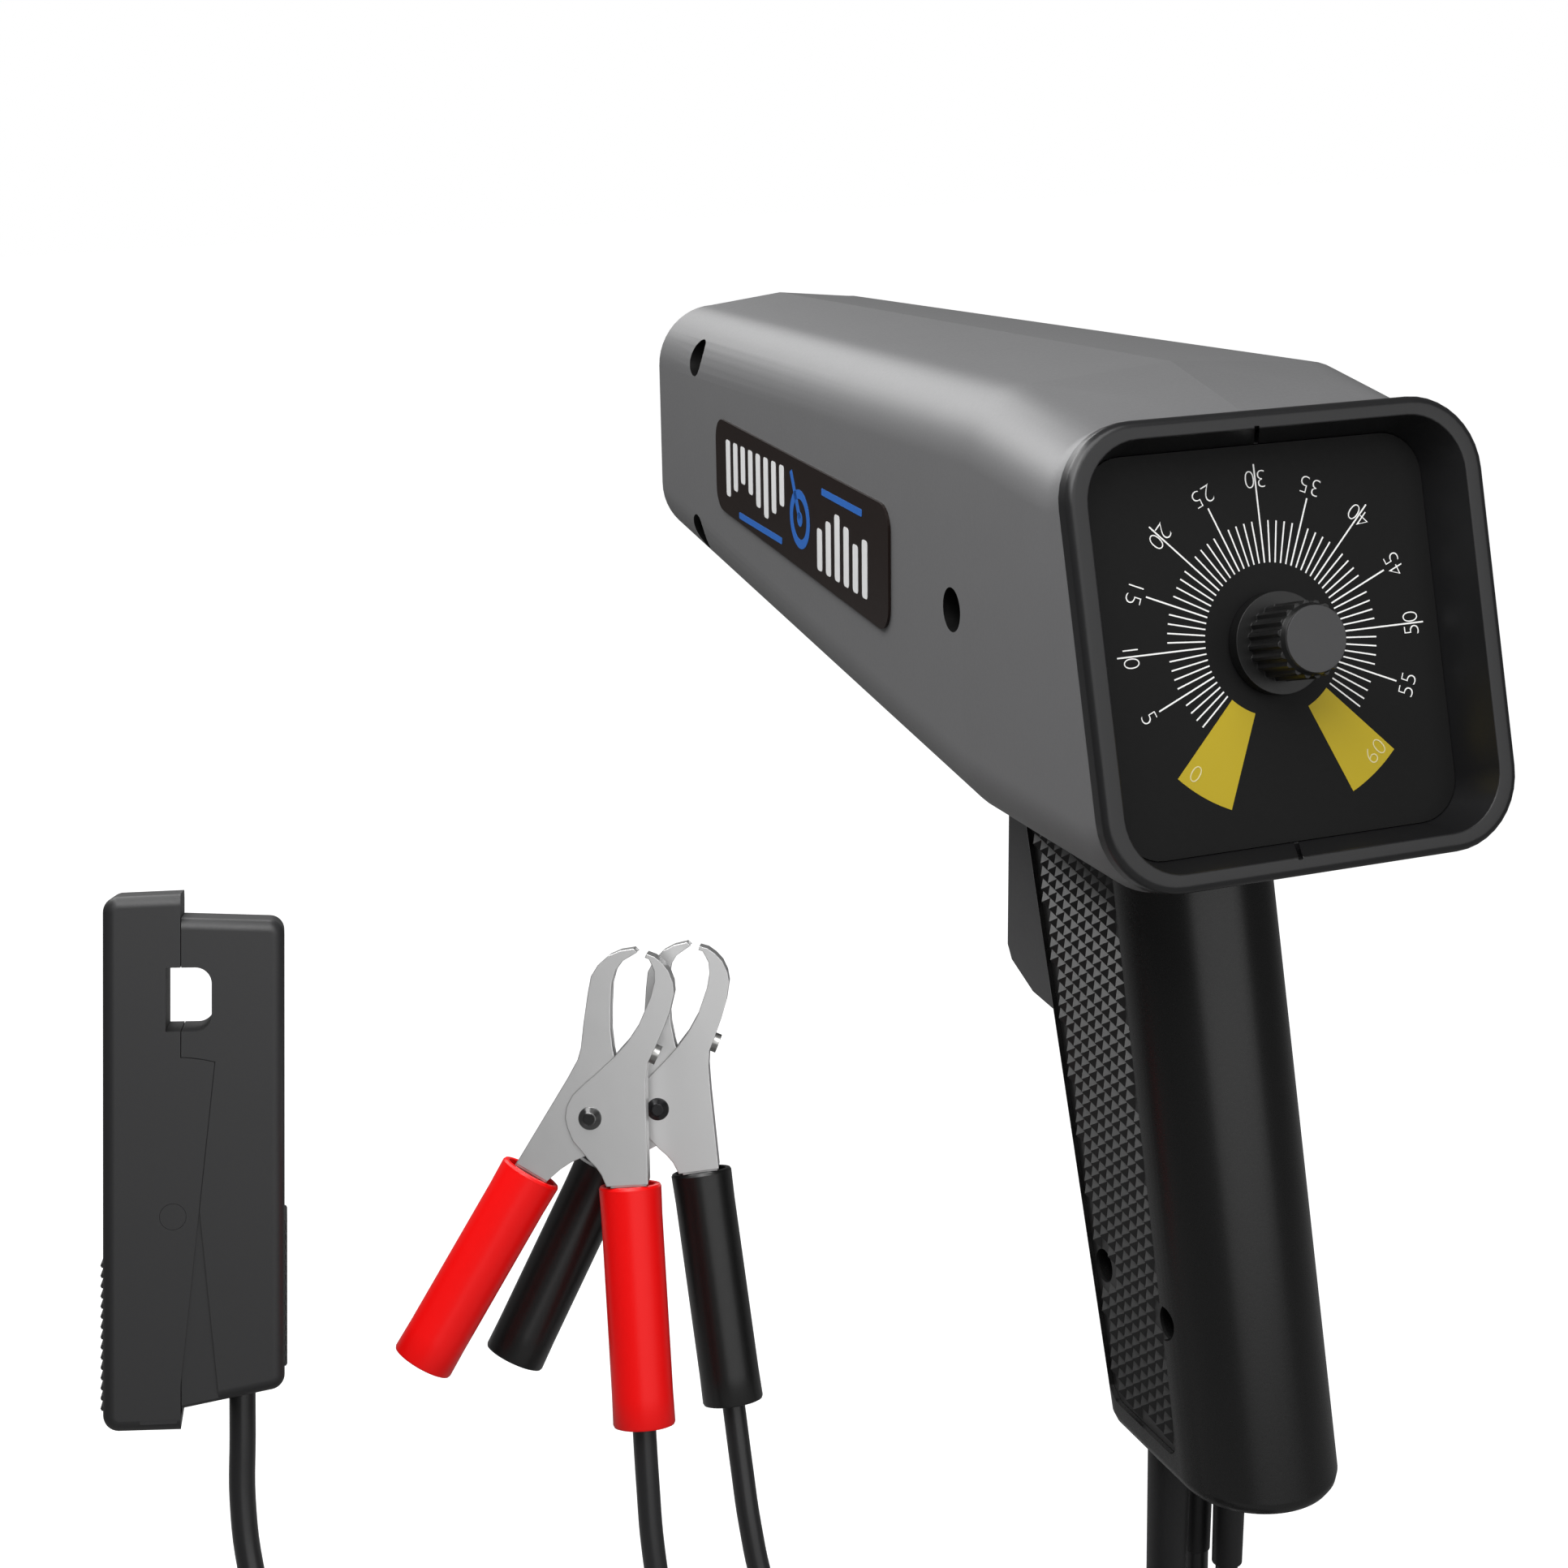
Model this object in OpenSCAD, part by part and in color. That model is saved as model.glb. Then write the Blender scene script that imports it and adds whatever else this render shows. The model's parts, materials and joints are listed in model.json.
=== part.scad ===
// Timing light with advance dial, pistol grip, plug-lead pickup and battery clips.
// Millimetres: +X gun right, +Y barrel forward, +Z up, origin at the middle of the grip.

/* [Gun] */
// Outside width of the rear bezel
bezel_w = 84; // [80:0.5:88]
// Outside height of the rear bezel along its own face
bezel_h = 82; // [78:0.5:86]
// Lean of the rear face
face_tilt = 16.5; // [12:0.5:20]
// Wall of the moulded shells
wall = 2.6; // [2:0.1:3.2]
// Half width of the handle
grip_hw = 16; // [14:0.5:18]

/* [Dial] */
// Radius of the knob's foot flange
knob_flange_r = 9.2; // [8:0.1:10]
// Radius of the ribbed knob
knob_r = 6.9; // [6:0.1:8]
// Knob height over the dial plate
knob_h = 14; // [10:0.5:16]

/* [Lens] */
// Radius of the lens opening
lens_r = 22; // [18:0.5:23]

/* [Pickup and clips] */
// Thickness of the pickup
pick_t = 24; // [20:1:28]
// Outside radius of the clip sleeves
sleeve_r = 5.95; // [5.5:0.05:6.4]
// Sheet thickness of the clip jaws
sheet = 0.8; // [0.6:0.1:1.2]

/* [Node] */
// Which node to show

/* [Hidden] */
$fn = 40;

// --- places -----------------------------------------------------------
face_at = [0, -28, 115];         // middle of the rear face, on its front plane
kink_y = 20;                     // where the roof and sides start to taper
front_y = 218;                   // front of the barrel
lens_z = 116.5;
turn = [-17.2, 0.8, -21.9];      // how pickup and clips hang
pick_spin = 10;                  // the pickup's own turn about its length
pick_at = [-189.2, 58.3, 4.5];
red_at = [-113.6, 33.4, 20.1];
black_at = [-96.2, 44.8, 14.3];
black_roll = -4.5;

// --- cords ------------------------------------------------------------
pickup_cord = 5;                 // diameters
clip_cord = 4.5;
coil_p = [-180, -60, -132.5];    // coil centres
coil_r = [-102, -60, -133];
coil_k = [-24, -60, -133];
coil_p_size = [27.5, 7.5];       // radius of the turns and of the bundle
coil_clip_size = [26, 7];
boot_foot = -82;                 // where the cords leave their strain reliefs
boot_p = [1.1, -1];
boot_r = [-8.6, -6];
boot_k = [4.2, -8];
route_p_drop = [
  [1.1, -1, -82], [1.1, -1, -92], [0.6, -0.3, -103], [-2.5, 1.8, -114], [-9, 5, -124],
  [-19, 8.5, -131], [-31.5, 11, -135.5], [-46, 12.5, -137.2], [-64, 13, -137.5], [-84, 12, -137.5],
  [-104, 9.3, -137.5], [-124, 3.8, -137.5], [-143, -7, -137.5], [-163, -18.5, -137.5], [-183, -30, -136]];
route_p_rise = [
  [-152.5, -50, -129.5], [-152.7, -38, -128.5], [-153.8, -26, -126.5], [-156.5, -13.5, -122],
  [-161, -2, -115], [-167, 9, -106], [-173.5, 17.5, -96], [-179, 24.5, -85.5], [-182.5, 31, -74],
  [-184, 36.6, -62], [-183.8, 40.6, -50], [-182.3, 43.8, -38], [-180.2, 48.6, -21.1]];
route_r_drop = [
  [-8.6, -6, -82], [-8.6, -6, -93], [-9.5, -6.2, -105], [-13.5, -6.8, -116], [-21, -8, -125.5],
  [-31.5, -9.5, -132], [-44, -12.3, -136], [-59, -17, -137.7], [-75, -22.6, -137.7],
  [-91, -28.3, -137.2], [-104, -33, -136]];
route_r_rise = [
  [-76, -53, -130], [-77, -43, -128.5], [-80.5, -32, -124.5], [-86.5, -22.5, -118], [-93.5, -15, -110],
  [-100.5, -9, -101], [-106.5, -4, -91], [-110.5, 0.3, -80.5], [-112.3, 4, -69.5], [-112.8, 7.3, -58.5],
  [-112.3, 10.7, -47], [-111.6, 13.9, -36.1], [-110.9, 16.8, -26.5]];
route_k_drop = [
  [4.2, -8, -82], [4.2, -8, -92], [4.2, -9.3, -104], [4.1, -14, -115], [3.9, -22, -124.5],
  [3.5, -32, -131.5], [3, -43, -135], [2.3, -53, -136]];
route_k_rise = [
  [-50, -53, -130.5], [-51.5, -40, -128.5], [-56, -28, -125], [-62, -18, -119.5], [-69, -10, -112.5],
  [-76, -3.5, -104.5], [-82, 2, -95.5], [-86.5, 7, -85.5], [-89, 11.5, -75], [-89.9, 15.5, -64],
  [-89.9, 19.6, -53], [-89.8, 23.8, -41.1], [-89.9, 27, -31.6]];

// --- small helpers ----------------------------------------------------
function unit(v) = v / norm(v);
function back(p) = [for (i = [len(p) - 1:-1:0]) p[i]];
function tangent(p, i) = unit(p[min(i + 1, len(p) - 1)] - p[max(i - 1, 0)]);
function arc(cx, cy, r, a0, a1, n) = [
  for (i = [0:n]) let (a = a0 + (a1 - a0) * i / n) [cx + r * cos(a), cy + r * sin(a)]];
function box(x0, y0, x1, y1) = [[x0, y0], [x1, y0], [x1, y1], [x0, y1]];
function rrect(w, h, r, n = 8, cy = 0) = concat(
  arc(w / 2 - r, cy + h / 2 - r, r, 0, 90, n), arc(-w / 2 + r, cy + h / 2 - r, r, 90, 180, n),
  arc(-w / 2 + r, cy - h / 2 + r, r, 180, 270, n), arc(w / 2 - r, cy - h / 2 + r, r, 270, 360, n));

module at_face() translate(face_at) rotate([90 - face_tilt, 0, 0]) children();
module at_lens(y) translate([0, y, lens_z]) rotate([-90, 0, 0]) children();
module at_pick() translate(pick_at) rotate(turn) rotate([0, 0, pick_spin]) children();
module at_red() translate(red_at) rotate(turn) children();
module at_black() translate(black_at) rotate(turn) rotate([0, black_roll, 0]) children();
// children drawn in x-z, pushed from y0 to y1
module slab(y0, y1) translate([0, y1, 0]) rotate([90, 0, 0]) linear_extrude(y1 - y0) children();
// children drawn in y-z, pushed from x0 to x1
module side(x0, x1) translate([x0, 0, 0]) rotate([90, 0, 90]) linear_extrude(x1 - x0) children();
// a cylinder along X through a place in y-z
module cross_rod(p, r, x0, x1, sides = 28)
  translate([x0, p[0], p[1]]) rotate([0, 90, 0]) cylinder(r = r, h = x1 - x0, $fn = sides);
// a bushing along Z
module bush(r, bore, h, sides = 40) difference() {
  cylinder(r = r, h = h, $fn = sides);
  translate([0, 0, -1]) cylinder(r = bore, h = h + 2, $fn = 32);
}

// a round tube along the points of p, with its first side towards up
module tube(p, d, up, sides = 8) {
  n = len(p);
  pts = [for (i = [0:n - 1]) let (t = tangent(p, i), a = unit(cross(up, t)), b = cross(t, a))
    for (k = [0:sides - 1]) p[i] + d / 2 * (cos(360 * k / sides) * a + sin(360 * k / sides) * b)];
  walls = [for (i = [0:n - 2]) for (k = [0:sides - 1]) let (next = (k + 1) % sides)
    [i * sides + k, i * sides + next, (i + 1) * sides + next, (i + 1) * sides + k]];
  ends = [[for (k = [sides - 1:-1:0]) k], [for (k = [0:sides - 1]) (n - 1) * sides + k]];
  polyhedron(pts, concat(walls, ends), convexity = 4);
}
function helix(r, pitch, turns, per = 8) = [
  for (i = [0:turns * per]) [r * cos(360 * i / per), r * sin(360 * i / per), pitch * i / per]];

// --- barrel -----------------------------------------------------------
corner_r = 14;                   // long edges of the barrel and the bezel
flange = 9;                      // depth of the bezel's rim
crown = 2;                       // height of the roof's ridge over its edges
boss_r = 5.6;
boss_at = [[26, 113], [187, 137.5], [187, 95.8]];
function taper(y) = (y - kink_y) / (front_y - kink_y);
function half_w(y) = 42.3 - 10.3 * taper(y);
function top_z(y) = 155.4 - 9.9 * taper(y);
function low_z(y) = 73.2 + 15.6 * taper(y);

module barrel_slice(y, in = 0, thick = 0.1) let (w = half_w(y) - corner_r, r = corner_r - in)
  slab(y, y + thick) polygon(concat(
    arc(w, top_z(y) - corner_r, r, 0, 90, 7), [[0, top_z(y) + crown - in]],
    arc(-w, top_z(y) - corner_r, r, 90, 180, 7), arc(-w, low_z(y) + corner_r, r, 180, 270, 7),
    arc(w, low_z(y) + corner_r, r, 270, 360, 7)));
module face_slice(in, depth, thick) at_face() translate([0, 0, -depth]) linear_extrude(thick)
  polygon(rrect(bezel_w - 0.4 - 2 * in, bezel_h - 0.4 - 2 * in, corner_r - in));
module barrel_outer() hull() {
  face_slice(0, flange + 0.1, 0.1);
  barrel_slice(kink_y);
  barrel_slice(front_y - 2.5);
  barrel_slice(front_y - 0.1, 2);
}
module barrel_inner() hull() {
  face_slice(wall, flange, 0.3);
  barrel_slice(kink_y, wall);
  barrel_slice(front_y - 3, wall);
}
module board_rails() for (s = [-1, 1]) translate([s * 34 - 8, 72, 88.6]) cube([16, 66, 2.4]);
// sunk head from the left, free hole to the joint line, pilot hole beyond it
module screw_bores(places, head_r, seat) for (p = places) {
  cross_rod(p, head_r, -60, seat, 32);
  cross_rod(p, 1.7, seat - 1, 0, 24);
  cross_rod(p, 1.55, -0.01, 12, 24);
}
module housing_half(s) color("dimgray") difference() {
  barrel_outer();
  difference() {
    barrel_inner();
    for (b = boss_at) cross_rod(b, boss_r, -50, 50, 32);
    board_rails();
  }
  screw_bores(boss_at, 4.25, -12);
  at_lens(front_y - 7) cylinder(r = lens_r + 2.1, h = 8, $fn = 64);
  handle_block(0.12, 60, 90);
  translate([s < 0 ? 0 : -60, -60, 40]) cube([60, 280, 140]);
}
module housing_left() housing_half(-1);
module housing_right() housing_half(1);

// --- rear face --------------------------------------------------------
plate_size = [69, 71];           // dial plate, at the foot of the tapering recess
module bezel() color("dimgray") at_face() difference() {
  union() {
    translate([0, 0, -flange]) linear_extrude(flange - 2) polygon(rrect(bezel_w, bezel_h, corner_r));
    translate([0, 0, -2]) linear_extrude(2, slices = 1, scale = [1 - 3 / bezel_w, 1 - 3 / bezel_h])
      polygon(rrect(bezel_w, bezel_h, corner_r));
    translate([0, 0, -13]) linear_extrude(4.5) polygon(rrect(bezel_w - 8, bezel_h - 8.4, 10, 8, 0.7));
  }
  translate([0, 0, -10.5]) linear_extrude(2) polygon(rrect(plate_size[0] + 0.2, plate_size[1] + 0.2, 8));
  translate([0, 0, -flange]) linear_extrude(flange + 0.05, slices = 1, scale = [76 / 69.2, 75 / 71.2])
    polygon(rrect(plate_size[0] + 0.2, plate_size[1] + 0.2, 8));
  translate([0, 0, -14]) cylinder(r = 4, h = 5, $fn = 32);
  for (s = [-1, 1]) translate([-0.5, s * 36.5 - 1.8, -8]) cube([1, 3.6, 9]);
}
module dial_plate() color("black") at_face() translate([0, 0, -10.45]) difference() {
  linear_extrude(1.45) polygon(rrect(plate_size[0], plate_size[1], 7.9));
  translate([0, 0, -1]) cylinder(r = 3.6, h = 4, $fn = 32);
}

// the shaft turns in the potentiometer's bushing and carries the knob
shaft_r = 3;
bush_r = 3.5;
nut_h = 2;
module pot_body() color("silver") at_face() union() {
  translate([0, 0, -24]) bush(8.5, shaft_r + 0.05, 10.9);
  translate([0, 0, -13.2]) bush(bush_r, shaft_r + 0.05, 6.5);
  translate([-7, -14, -22]) cube([14, 6, 1.5]);
}
module pot_nut() color("silver") at_face() translate([0, 0, -8.95]) difference() {
  cylinder(r = 5.7, h = nut_h, $fn = 6);
  translate([0, 0, -1]) cylinder(r = bush_r + 0.05, h = nut_h + 2, $fn = 32);
}
module pot_shaft() color("silver") at_face() translate([0, 0, -22]) cylinder(r = shaft_r, h = 23.5, $fn = 32);
ribs_round = 20;
rib_depth = 0.55;
module knob() color("black") at_face() difference() {
  union() {
    translate([0, 0, -8.7]) cylinder(r = knob_flange_r, h = 2.6, $fn = 48);
    translate([0, 0, -6.2]) linear_extrude(knob_h - 3.8) polygon([
      for (i = [0:4 * ribs_round - 1]) let (a = i * 90 / ribs_round, r = knob_r - (i % 4 < 2 ? 0 : rib_depth))
        [r * cos(a), r * sin(a)]]);
    translate([0, 0, knob_h - 10.05]) cylinder(r1 = knob_r - 0.5, r2 = knob_r - 1, h = 1, $fn = 40);
  }
  translate([0, 0, -9]) cylinder(r = 6.3, h = 2.5, $fn = 40);
  translate([0, 0, -7]) cylinder(r = shaft_r + 0.02, h = 8.6, $fn = 32);
}
module knob_cap() color("gray") at_face() translate([0, 0, knob_h - 9.05]) cylinder(r = knob_r - 1, h = 0.6);

// --- labels on the tapering sides -------------------------------------
label_t = 0.6;
label_y = [50, 176];
label_shape = concat(
  arc(163.8, 121.7, 5, 0, 90, 6), arc(62.5, 121.5, 5, 90, 180, 6),
  arc(62.5, 106, 5, 180, 272.5, 6), arc(163.8, 110.5, 5, 272.5, 360, 6));
function off_side(s, y, gap) = [s * (half_w(y) + gap), y];
module along_side(s, gap) linear_extrude(200) polygon([
  off_side(s, label_y[0], gap), off_side(s, label_y[1], gap),
  off_side(s, label_y[1], gap + label_t), off_side(s, label_y[0], gap + label_t)]);
module label(s) color("black") intersection() {
  side(-60, 60) polygon(label_shape);
  along_side(s, 0.02);
}
module label_left() label(-1);
module label_right() label(1);

// --- light ------------------------------------------------------------
ring_in = lens_r + 2;            // part of the ring inside the barrel
bowl_r = 14;                     // mouth of the reflector, between the front bosses
function bowl(r) = 2 + r * r / 7;
module lens_ring() color("dimgray") at_lens(front_y - 11) rotate_extrude($fn = 64) polygon([
  [lens_r - 1.5, 0], [ring_in, 0], [ring_in, 11], [ring_in + 1.8, 11], [ring_in + 1.8, 13.5],
  [ring_in + 0.8, 14.5], [lens_r + 0.6, 14.5], [lens_r + 0.6, 7], [lens_r - 1.5, 7]]);
module lens() color("lightblue", 0.4) at_lens(front_y - 4) rotate_extrude($fn = 64) polygon(concat(
  [[0, 0.02], [lens_r + 0.5, 0.02], [lens_r + 0.5, 2]],
  [for (a = [15:15:90]) [lens_r * cos(a), 2 + 5.5 * sin(a)]]));
module reflector() color("silver") at_lens(158) rotate_extrude($fn = 48) polygon(concat(
  [for (r = [4:2:bowl_r]) [r, bowl(r)]], [for (r = [bowl_r:-2:4]) [r + 0.9, bowl(r) - 1.4]],
  [[4, bowl(4) - 1.4]]));
module flash_tube() color("white", 0.5) at_lens(152) union() {
  cylinder(r = 2.4, h = 24, $fn = 24);
  translate([0, 0, -3]) cylinder(r = 1.4, h = 3.1, $fn = 16);
  translate([0, 0, 23.9]) cylinder(r = 1.4, h = 2, $fn = 16);
}

// --- electronics ------------------------------------------------------
module pcb() color("green") translate([-32, 74, 91.05]) cube([64, 62, 1.6]);
module capacitor() color("navy") translate([-16, 82, 101.7]) rotate([-90, 0, 0]) cylinder(r = 9, h = 42);
module transformer() color("goldenrod") translate([2, 84, 92.7]) difference() {
  cube([26, 30, 24]);
  translate([5, -1, 8]) cube([16, 4, 8]);
}

// --- handle -----------------------------------------------------------
grip_r = 4.5;                    // front corners of the handle
panel_t = 1.15;
panel_floor = grip_hw - 1.2;
screw_at = [[11, -21], [-15, -21]];
gland_box = [21.5, 15.5, 7];
gland_at = [-13.2, -12.5];
switch_pocket = [10.4, 14];
function rear_y(z) = -9.2 + 0.283 * z;
function fore_y(z) = 26.3 + 0.375 * z;
function grip_pts(z, o = 0) = let (x = grip_hw + o - grip_r, y = fore_y(z) + o - grip_r) concat(
  arc(0, rear_y(z), grip_hw + o, 180, 360, 16), arc(x, y, grip_r, 0, 90, 5), arc(-x, y, grip_r, 90, 180, 5));
function panel_pts(o) = [
  [fore_y(-45) - 3.5 + o, -45 - o], [fore_y(69) - 3.5 + o, 69 + o], [rear_y(69) + 1 - o, 69 + o],
  [rear_y(-47) + 1 - o, -47 - o], [fore_y(-47) - 6, -47 - o]];
module grip_slice(z, o) translate([0, 0, z]) linear_extrude(0.1) polygon(grip_pts(z, o));
module handle_block(o, z0, z1) hull() {
  grip_slice(z0, o);
  grip_slice(z1 - 0.1, o);
}
module handle_outer() hull() {
  grip_slice(-53, -2);
  grip_slice(-50.5, -0.3);
  grip_slice(-48, 0);
  grip_slice(85.9, 0);
}
module handle_shell() difference() {
  handle_outer();
  handle_block(-wall, -49.5, 88);
  side(-grip_hw - 1, -panel_floor) polygon(panel_pts(0.06));
  side(panel_floor, grip_hw + 1) polygon(panel_pts(0.06));
  translate([gland_at[0] - 0.1, gland_at[1] - 0.1, -54]) cube([gland_box[0] + 0.2, gland_box[1] + 0.2, 8]);
  translate([-switch_pocket[0] / 2, fore_y(40) - 8, 45.2]) cube([switch_pocket[0], 30, switch_pocket[1]]);
}
module handle_half(s) color("black") difference() {
  union() {
    handle_shell();
    for (q = screw_at) cross_rod(q, 4.6, -14, 14);
  }
  screw_bores(screw_at, 3.4, -8);
  translate([s < 0 ? 0 : -30, -60, -60]) cube([30, 140, 160]);
}
module handle_left() handle_half(-1);
module handle_right() handle_half(1);
module grip_panel_left() color("black") difference() {
  side(-grip_hw - 0.1, -grip_hw + panel_t) polygon(panel_pts(0));
  screw_bores(screw_at, 3.4, -8);
}
module grip_panel_right() color("black") side(grip_hw - panel_t, grip_hw + 0.1) polygon(panel_pts(0));

// --- trigger ----------------------------------------------------------
hinge = [59.5, 70.5];
hinge_r = 1.5;
module switch_housing() color("dimgray") difference() {
  side(-11, 11) polygon([
    [fore_y(21.5) + 0.1, 21.5], [51.5, 22.5], [61.5, 26.2], [63.5, 29], [63.5, 76.1],
    [fore_y(75.4) + 0.1, 75.4]]);
  side(-7.8, 7.8) polygon([[65, 34.4], [52, 34.4], [52, 60], [55.6, 66], [55.6, 77], [65, 77]]);
  cross_rod(hinge, hinge_r + 0.02, -12, 12, 24);
  translate([-switch_pocket[0] / 2, 40, 45.2]) cube([switch_pocket[0], 13, switch_pocket[1]]);
}
module trigger() color("dimgray") difference() {
  side(-7.5, 7.5) polygon([
    [65.6, 75.8], [66.6, 37.2], [65.8, 36], [63.6, 35.4], [57, 35.4], [57, 60], [58, 66], [56.4, 69],
    [56.4, 74], [58.5, 75.8]]);
  cross_rod(hinge, hinge_r + 0.06, -12, 12, 24);
  translate([0, 60, 40]) rotate([90, 0, 0]) cylinder(r = 2.6, h = 4, $fn = 24);
}
module trigger_pin() color("silver") cross_rod(hinge, hinge_r, -10.8, 10.8, 24);
module trigger_spring() color("silver") translate([0, 52.4, 40]) rotate([-90, 0, 0])
  tube(helix(1.7, 1.35, 5), 0.6, [0, 0, 1], 6);
module microswitch() color("black") union() {
  translate([-5, 40.5, 45.4]) cube([10, 10, 13.6]);
  translate([-1.5, 50, 50]) cube([3, 5, 3]);
}

// --- fasteners --------------------------------------------------------
module screw(len) union() {
  translate([-2.4, 0, 0]) rotate([0, 90, 0]) difference() {
    cylinder(r = 2.9, h = 2.4, $fn = 28);
    translate([-0.5, -2, -1]) cube([1, 4, 2]);
    translate([-2, -0.5, -1]) cube([4, 1, 2]);
  }
  cross_rod([0, 0], 1.5, -0.1, len - 0.1, 24);
}
module housing_screws() color("silver") for (b = boss_at) translate([-12, b[0], b[1]]) screw(22);
module handle_screws() color("silver") for (q = screw_at) translate([-8, q[0], q[1]]) screw(17);

// --- cable gland ------------------------------------------------------
// a strain relief, tapering from the handle down to the cord
module boot(p, foot_r, top_r) translate([p[0], p[1], boot_foot])
  cylinder(r1 = foot_r, r2 = top_r, h = 30, $fn = 32);
module cable_gland() color("black") union() {
  translate([gland_at[0], gland_at[1], -53.2]) cube(gland_box);
  boot(boot_p, 2.8, 3);
  boot(boot_r, 4, 4.4);
  boot(boot_k, 3.05, 3.3);
}

// --- leads ------------------------------------------------------------
module ring(at, size) translate(at) rotate_extrude($fn = 48)
  translate([size[0], 0]) circle(r = size[1], $fn = 20);
module pickup_lead_drop() color("#222") tube(route_p_drop, pickup_cord, [0, 1, 0]);
module pickup_lead_coil() color("#222") ring(coil_p, coil_p_size);
module pickup_lead_rise() color("#222") tube(route_p_rise, pickup_cord, [1, 0, 0]);
module red_lead_drop() color("#222") tube(route_r_drop, clip_cord, [0, 1, 0]);
module red_lead_coil() color("#222") ring(coil_r, coil_clip_size);
module red_lead_rise() color("#222") tube(route_r_rise, clip_cord, [1, 0, 0]);
module black_lead_drop() color("#222") tube(route_k_drop, clip_cord, [1, 0, 0]);
module black_lead_coil() color("#222") ring(coil_k, coil_clip_size);
module black_lead_rise() color("#222") tube(route_k_rise, clip_cord, [1, 0, 0]);
module tie(at, size) translate([at[0] - 2.5, at[1] - size[0], at[2]]) rotate([0, 90, 0])
  bush(size[1] + 1.1, size[1], 5, 32);
module cord_ties() color("black") {
  tie(coil_p, coil_p_size);
  tie(coil_r, coil_clip_size);
  tie(coil_k, coil_clip_size);
}

// --- pickup -----------------------------------------------------------
// Drawn in x-z about its pin: the lever's thin cheeks lap over the body's sides.
half_t = pick_t / 2;
cheek_t = 0.5;
lap = 0.1;                       // running clearance under and round the cheeks
cheek_top = 29.6;                // radius of the cheeks' upper edge about the pin
pin_r = 2.4;
core_t = 6;                      // half thickness of the ferrites
rib_pitch = 1.9;
rib_count = 15;
function ribs(x, z0, s) = [for (i = [0:rib_count - 1]) let (z = z0 - rib_pitch * i)
  each [[x, z + 0.55], [x + 0.5 * s, z + 0.15], [x + 0.5 * s, z - 0.15], [x, z - 0.55]]];
function lever_core() = concat(
  [[1.4, -40], [1.4, 34.4], [-1.3, 34.4], [-1.3, 46.3], [1.4, 46.3], [1.4, 60]],
  arc(-9.8, 56.6, 3, 90, 180, 5), ribs(-12.8, -9.1, -1), arc(-9.8, -36.9, 3, 180, 270, 5));
function body_core() = concat(
  [[1.55, 55.5], [1.55, 46.3], [4.1, 46.3]], arc(4.1, 43.3, 3, 90, 0, 5), arc(4.1, 37.4, 3, 0, -90, 5),
  [[1.55, 34.4], [1.55, 0.5], [3.6, -9.4], [1.55, -9.4], [1.55, -36.1]], arc(17.7, -30.4, 2.8, 280, 360, 5),
  back(ribs(20.5, -1.9, 1)), arc(17.7, 52.2, 2.8, 0, 88, 5));
cheek = concat([[-6, -40], [0.6, -40], [0.9, -36.2]], arc(0, 0, cheek_top, 75.1, 101.7, 6));
// the room that the cheek needs as it swings 11 degrees
swing = concat([[-1, -40], [9, -40], [4.9, 1]], arc(0, 0, cheek_top + 0.15, 74.8, 92, 4));
module both_sides(y0, y1) {
  slab(y0, y1) children();
  slab(-y1, -y0) children();
}
module pickup_lever() color("#3a3a3a") at_pick() difference() {
  union() {
    slab(-half_t, half_t) polygon(lever_core());
    both_sides(half_t - cheek_t, half_t) polygon(cheek);
  }
  slab(-5.1, 5.1) polygon(concat([[2, -8], [2, 8], [0, 8]], arc(0, 0, 6.3, 90, 270, 12), [[0, -8]]));
  slab(-half_t + cheek_t, half_t - cheek_t) polygon(box(-9.8, -37.8, 2, -8.5));
  slab(-20, 20) circle(r = pin_r + 0.06, $fn = 32);
  slab(-core_t - 0.05, core_t + 0.05) polygon(box(-9.3, 29, -5.25, 52.5));
}
module pickup_body() color("#3a3a3a") at_pick() difference() {
  union() {
    slab(-half_t, half_t) polygon(body_core());
    slab(-5, 5) polygon(concat(arc(0, 0, 6, 60, 300, 14), [[6, -5.2], [6, 5.2]]));
  }
  both_sides(half_t - cheek_t - lap, half_t + 1) polygon(swing);
  slab(-20, 20) circle(r = pin_r + 0.02, $fn = 32);
  slab(-core_t - 0.05, core_t + 0.05) polygon(box(8.95, 29, 13.05, 52.5));
  translate([12.5, 0, -38]) cylinder(r = 2.2, h = 14, $fn = 24);
}
module pickup_pin() color("#3a3a3a") at_pick()
  slab(-half_t - 0.05, half_t + 0.05) circle(r = pin_r, $fn = 32);
module pickup_spring() color("silver") at_pick() translate([-9.3, 0, -22]) rotate([0, 90, 0])
  tube(helix(3, 2.05, 5), 0.8, [0, 0, 1], 6);
module core_fixed() color("#444") at_pick() slab(-core_t, core_t) polygon(box(9, 29.05, 13, 52.45));
module core_moving() color("#444") at_pick() slab(-core_t, core_t) polygon(box(-9.25, 29.05, -5.3, 52.45));

// --- battery clips ----------------------------------------------------
// Jaw outlines in x-z about the rivet, each an outer and an inner edge.
right_out = [
  [10.6, 31], [12.2, 30.4], [13.6, 29.2], [14.8, 27.7], [15.6, 25.6], [15.8, 23.5], [15, 20],
  [13.8, 16.8], [12.2, 13.2], [10.9, 10.5], [10.5, 7.5], [10.5, 2.2], [10.9, -12.5]];
right_in = [
  [3.1, -12.9], [2.1, -10.6], [1, -9.1], [-0.4, -7.7], [-1.5, -6.3], [-3.3, -4.2], [-4.3, -1.7],
  [-4.7, 0.1], [-4.4, 2.2], [-3.4, 4.2], [-1.5, 6.1], [1.4, 8.6], [4.5, 11.5], [7, 14.3],
  [9.1, 17.5], [10.2, 20], [11.4, 22.8], [12.1, 25.6], [12.1, 27.7], [11.4, 29.3]];
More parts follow.
